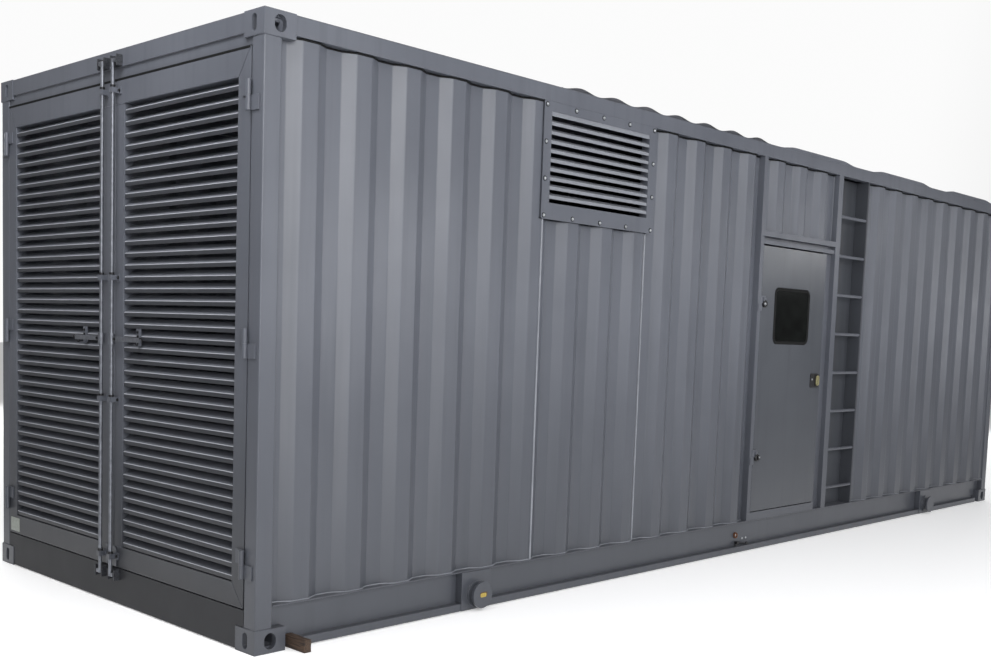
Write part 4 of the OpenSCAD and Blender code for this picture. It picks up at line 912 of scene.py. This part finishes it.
# matt painted floor: pale, so that only soft shadows show on it, and glowing faintly as painted light; it
# turns light grey in front of the long side and of the louvred end, whose sheets mirror it, as a painted
# falloff of light
floorPaint, tree, shader = newMaterial("mattFloorPaint")
spot = addNode(tree, "TexCoord").outputs["Object"]
fade = addNode(tree, "Math", {"operation": "MAXIMUM"}, {0: softStep(tree, spot, "longSide", 0.0, 1.0),
                                                        1: softStep(tree, spot, "louvredEnd", 0.0, 1.0)})
ground = addNode(tree, "Mix", {"data_type": "RGBA", 6: toLinear(studio["floor"]),
                               7: toLinear(studio["floorAhead"])}, {0: fade.outputs[0]})
tree.links.new(ground.outputs[2], shader.inputs["Base Color"])
# painted light: the floor glows, less where it turns grey
glow = addNode(tree, "MapRange", {"To Min": studio["glow"], "To Max": studio["glowAhead"]},
               {"Value": fade.outputs[0]})
tree.links.new(glow.outputs[0], shader.inputs["Emission Strength"])
shader.inputs["Roughness"].default_value = 0.9
shader.inputs["Emission Color"].default_value = toLinear("#ffffff")
data.materials.append(floorPaint)
studioFloor = bpy.data.objects.new("studioFloor", data)
studioFloor.location.z = -studio["floorDrop"]
bpy.context.scene.collection.objects.link(studioFloor)

# surround: bright behind the object, dimmer where the louvred end faces, past the far end and overhead
world = bpy.data.worlds.new("studioSurround")
bpy.context.scene.world = world
world.use_nodes = True
tree = world.node_tree
direction = addNode(tree, "TexCoord").outputs["Generated"]
backdrop = softStep(tree, direction, "behind", studio["surround"], studio["backdrop"])
dimmer = softStep(tree, direction, "endwards", 1.0, studio["endwards"])
darker = softStep(tree, direction, "farwards", 1.0, studio["farwards"])
sides = addNode(tree, "Math", {"operation": "MULTIPLY"}, {0: darker, 1: dimmer})
around = addNode(tree, "Math", {"operation": "MULTIPLY"}, {0: backdrop, 1: sides.outputs[0]})
height = addNode(tree, "SeparateXYZ", None, {0: direction})
raised = addNode(tree, "MapRange", {"interpolation_type": "SMOOTHSTEP", "From Min": 0.38, "From Max": 0.62},
                 {"Value": height.outputs["Z"]})
level = addNode(tree, "Mix", {"data_type": "FLOAT", 3: studio["overhead"]},
                {0: raised.outputs[0], 2: around.outputs[0]})
tree.links.new(level.outputs[0], tree.nodes["Background"].inputs["Strength"])
tree.nodes["Background"].inputs["Color"].default_value = (1.0, 1.0, 1.0, 1.0)


def softbox(name, power, width, depth, place, aim):
    light = bpy.data.lights.new(name, "AREA")
    light.shape = "RECTANGLE"
    light.size, light.size_y, light.energy = width, depth, power
    lamp = bpy.data.objects.new(name, light)
    lamp.location = place
    lamp.rotation_euler = (Vector(aim) - Vector(place)).to_track_quat("-Z", "Y").to_euler()
    lamp.visible_camera = False
    bpy.context.scene.collection.objects.link(lamp)


# name: power, width, height, place, aim
softboxes = {
    "keySoftbox": (650, 8.0, 4.0, (-8.6, -10.0, 4.6), (-3.5, -1.4, 1.8)),
    "wideSoftbox": (400, 8.0, 5.0, (-2.0, -12.0, 5.0), (-1.0, -1.4, 1.6)),
    "lowSoftbox": (90, 3.0, 1.6, (-6.8, -9.5, 1.0), (-3.0, -1.4, 1.0)),
    "farSoftbox": (190, 2.0, 3.0, (6.6, -14.0, 2.6), (3.5, -1.4, 1.5)),
    "doorSoftbox": (26, 1.5, 1.0, (10.9, -7.3, 3.4), (0.4, -1.4, 2.0)),
    "backSoftbox": (900, 9.0, 4.0, (0.5, 13.0, 5.5), (0.5, 1.4, 1.4)),
    "farEndSoftbox": (350, 4.0, 3.0, (14.0, 3.5, 4.5), (4.5, 0.0, 1.5)),
    "roofSoftbox": (125, 11.0, 2.0, (0.0, -4.4, 6.5), (0.0, -1.4, 1.6)),
    "headerSoftbox": (150, 2.6, 1.0, (-6.1, -1.0, 5.2), (-4.5, -0.5, 2.7)),
}
for name, (power, width, depth, place, aim) in softboxes.items():
    softbox(name, power, width, depth, place, aim)

view = {"place": (-7.583, -5.860, 1.572), "turn": (85.044, -1.942, -46.05), "lens": 41.65, "sensor": 36.0,
        "shift": (0.0040, 0.0961), "clip": (0.05, 200.0)}
lens = bpy.data.cameras.new("mainCamera")
lens.lens, lens.sensor_width = view["lens"], view["sensor"]
lens.shift_x, lens.shift_y = view["shift"]
lens.clip_start, lens.clip_end = view["clip"]
camera = bpy.data.objects.new("mainCamera", lens)
camera.location = view["place"]
camera.rotation_euler = [math.radians(a) for a in view["turn"]]
bpy.context.scene.collection.objects.link(camera)
bpy.context.scene.camera = camera
bpy.context.scene.view_settings.view_transform = "Standard"
print("studio set")
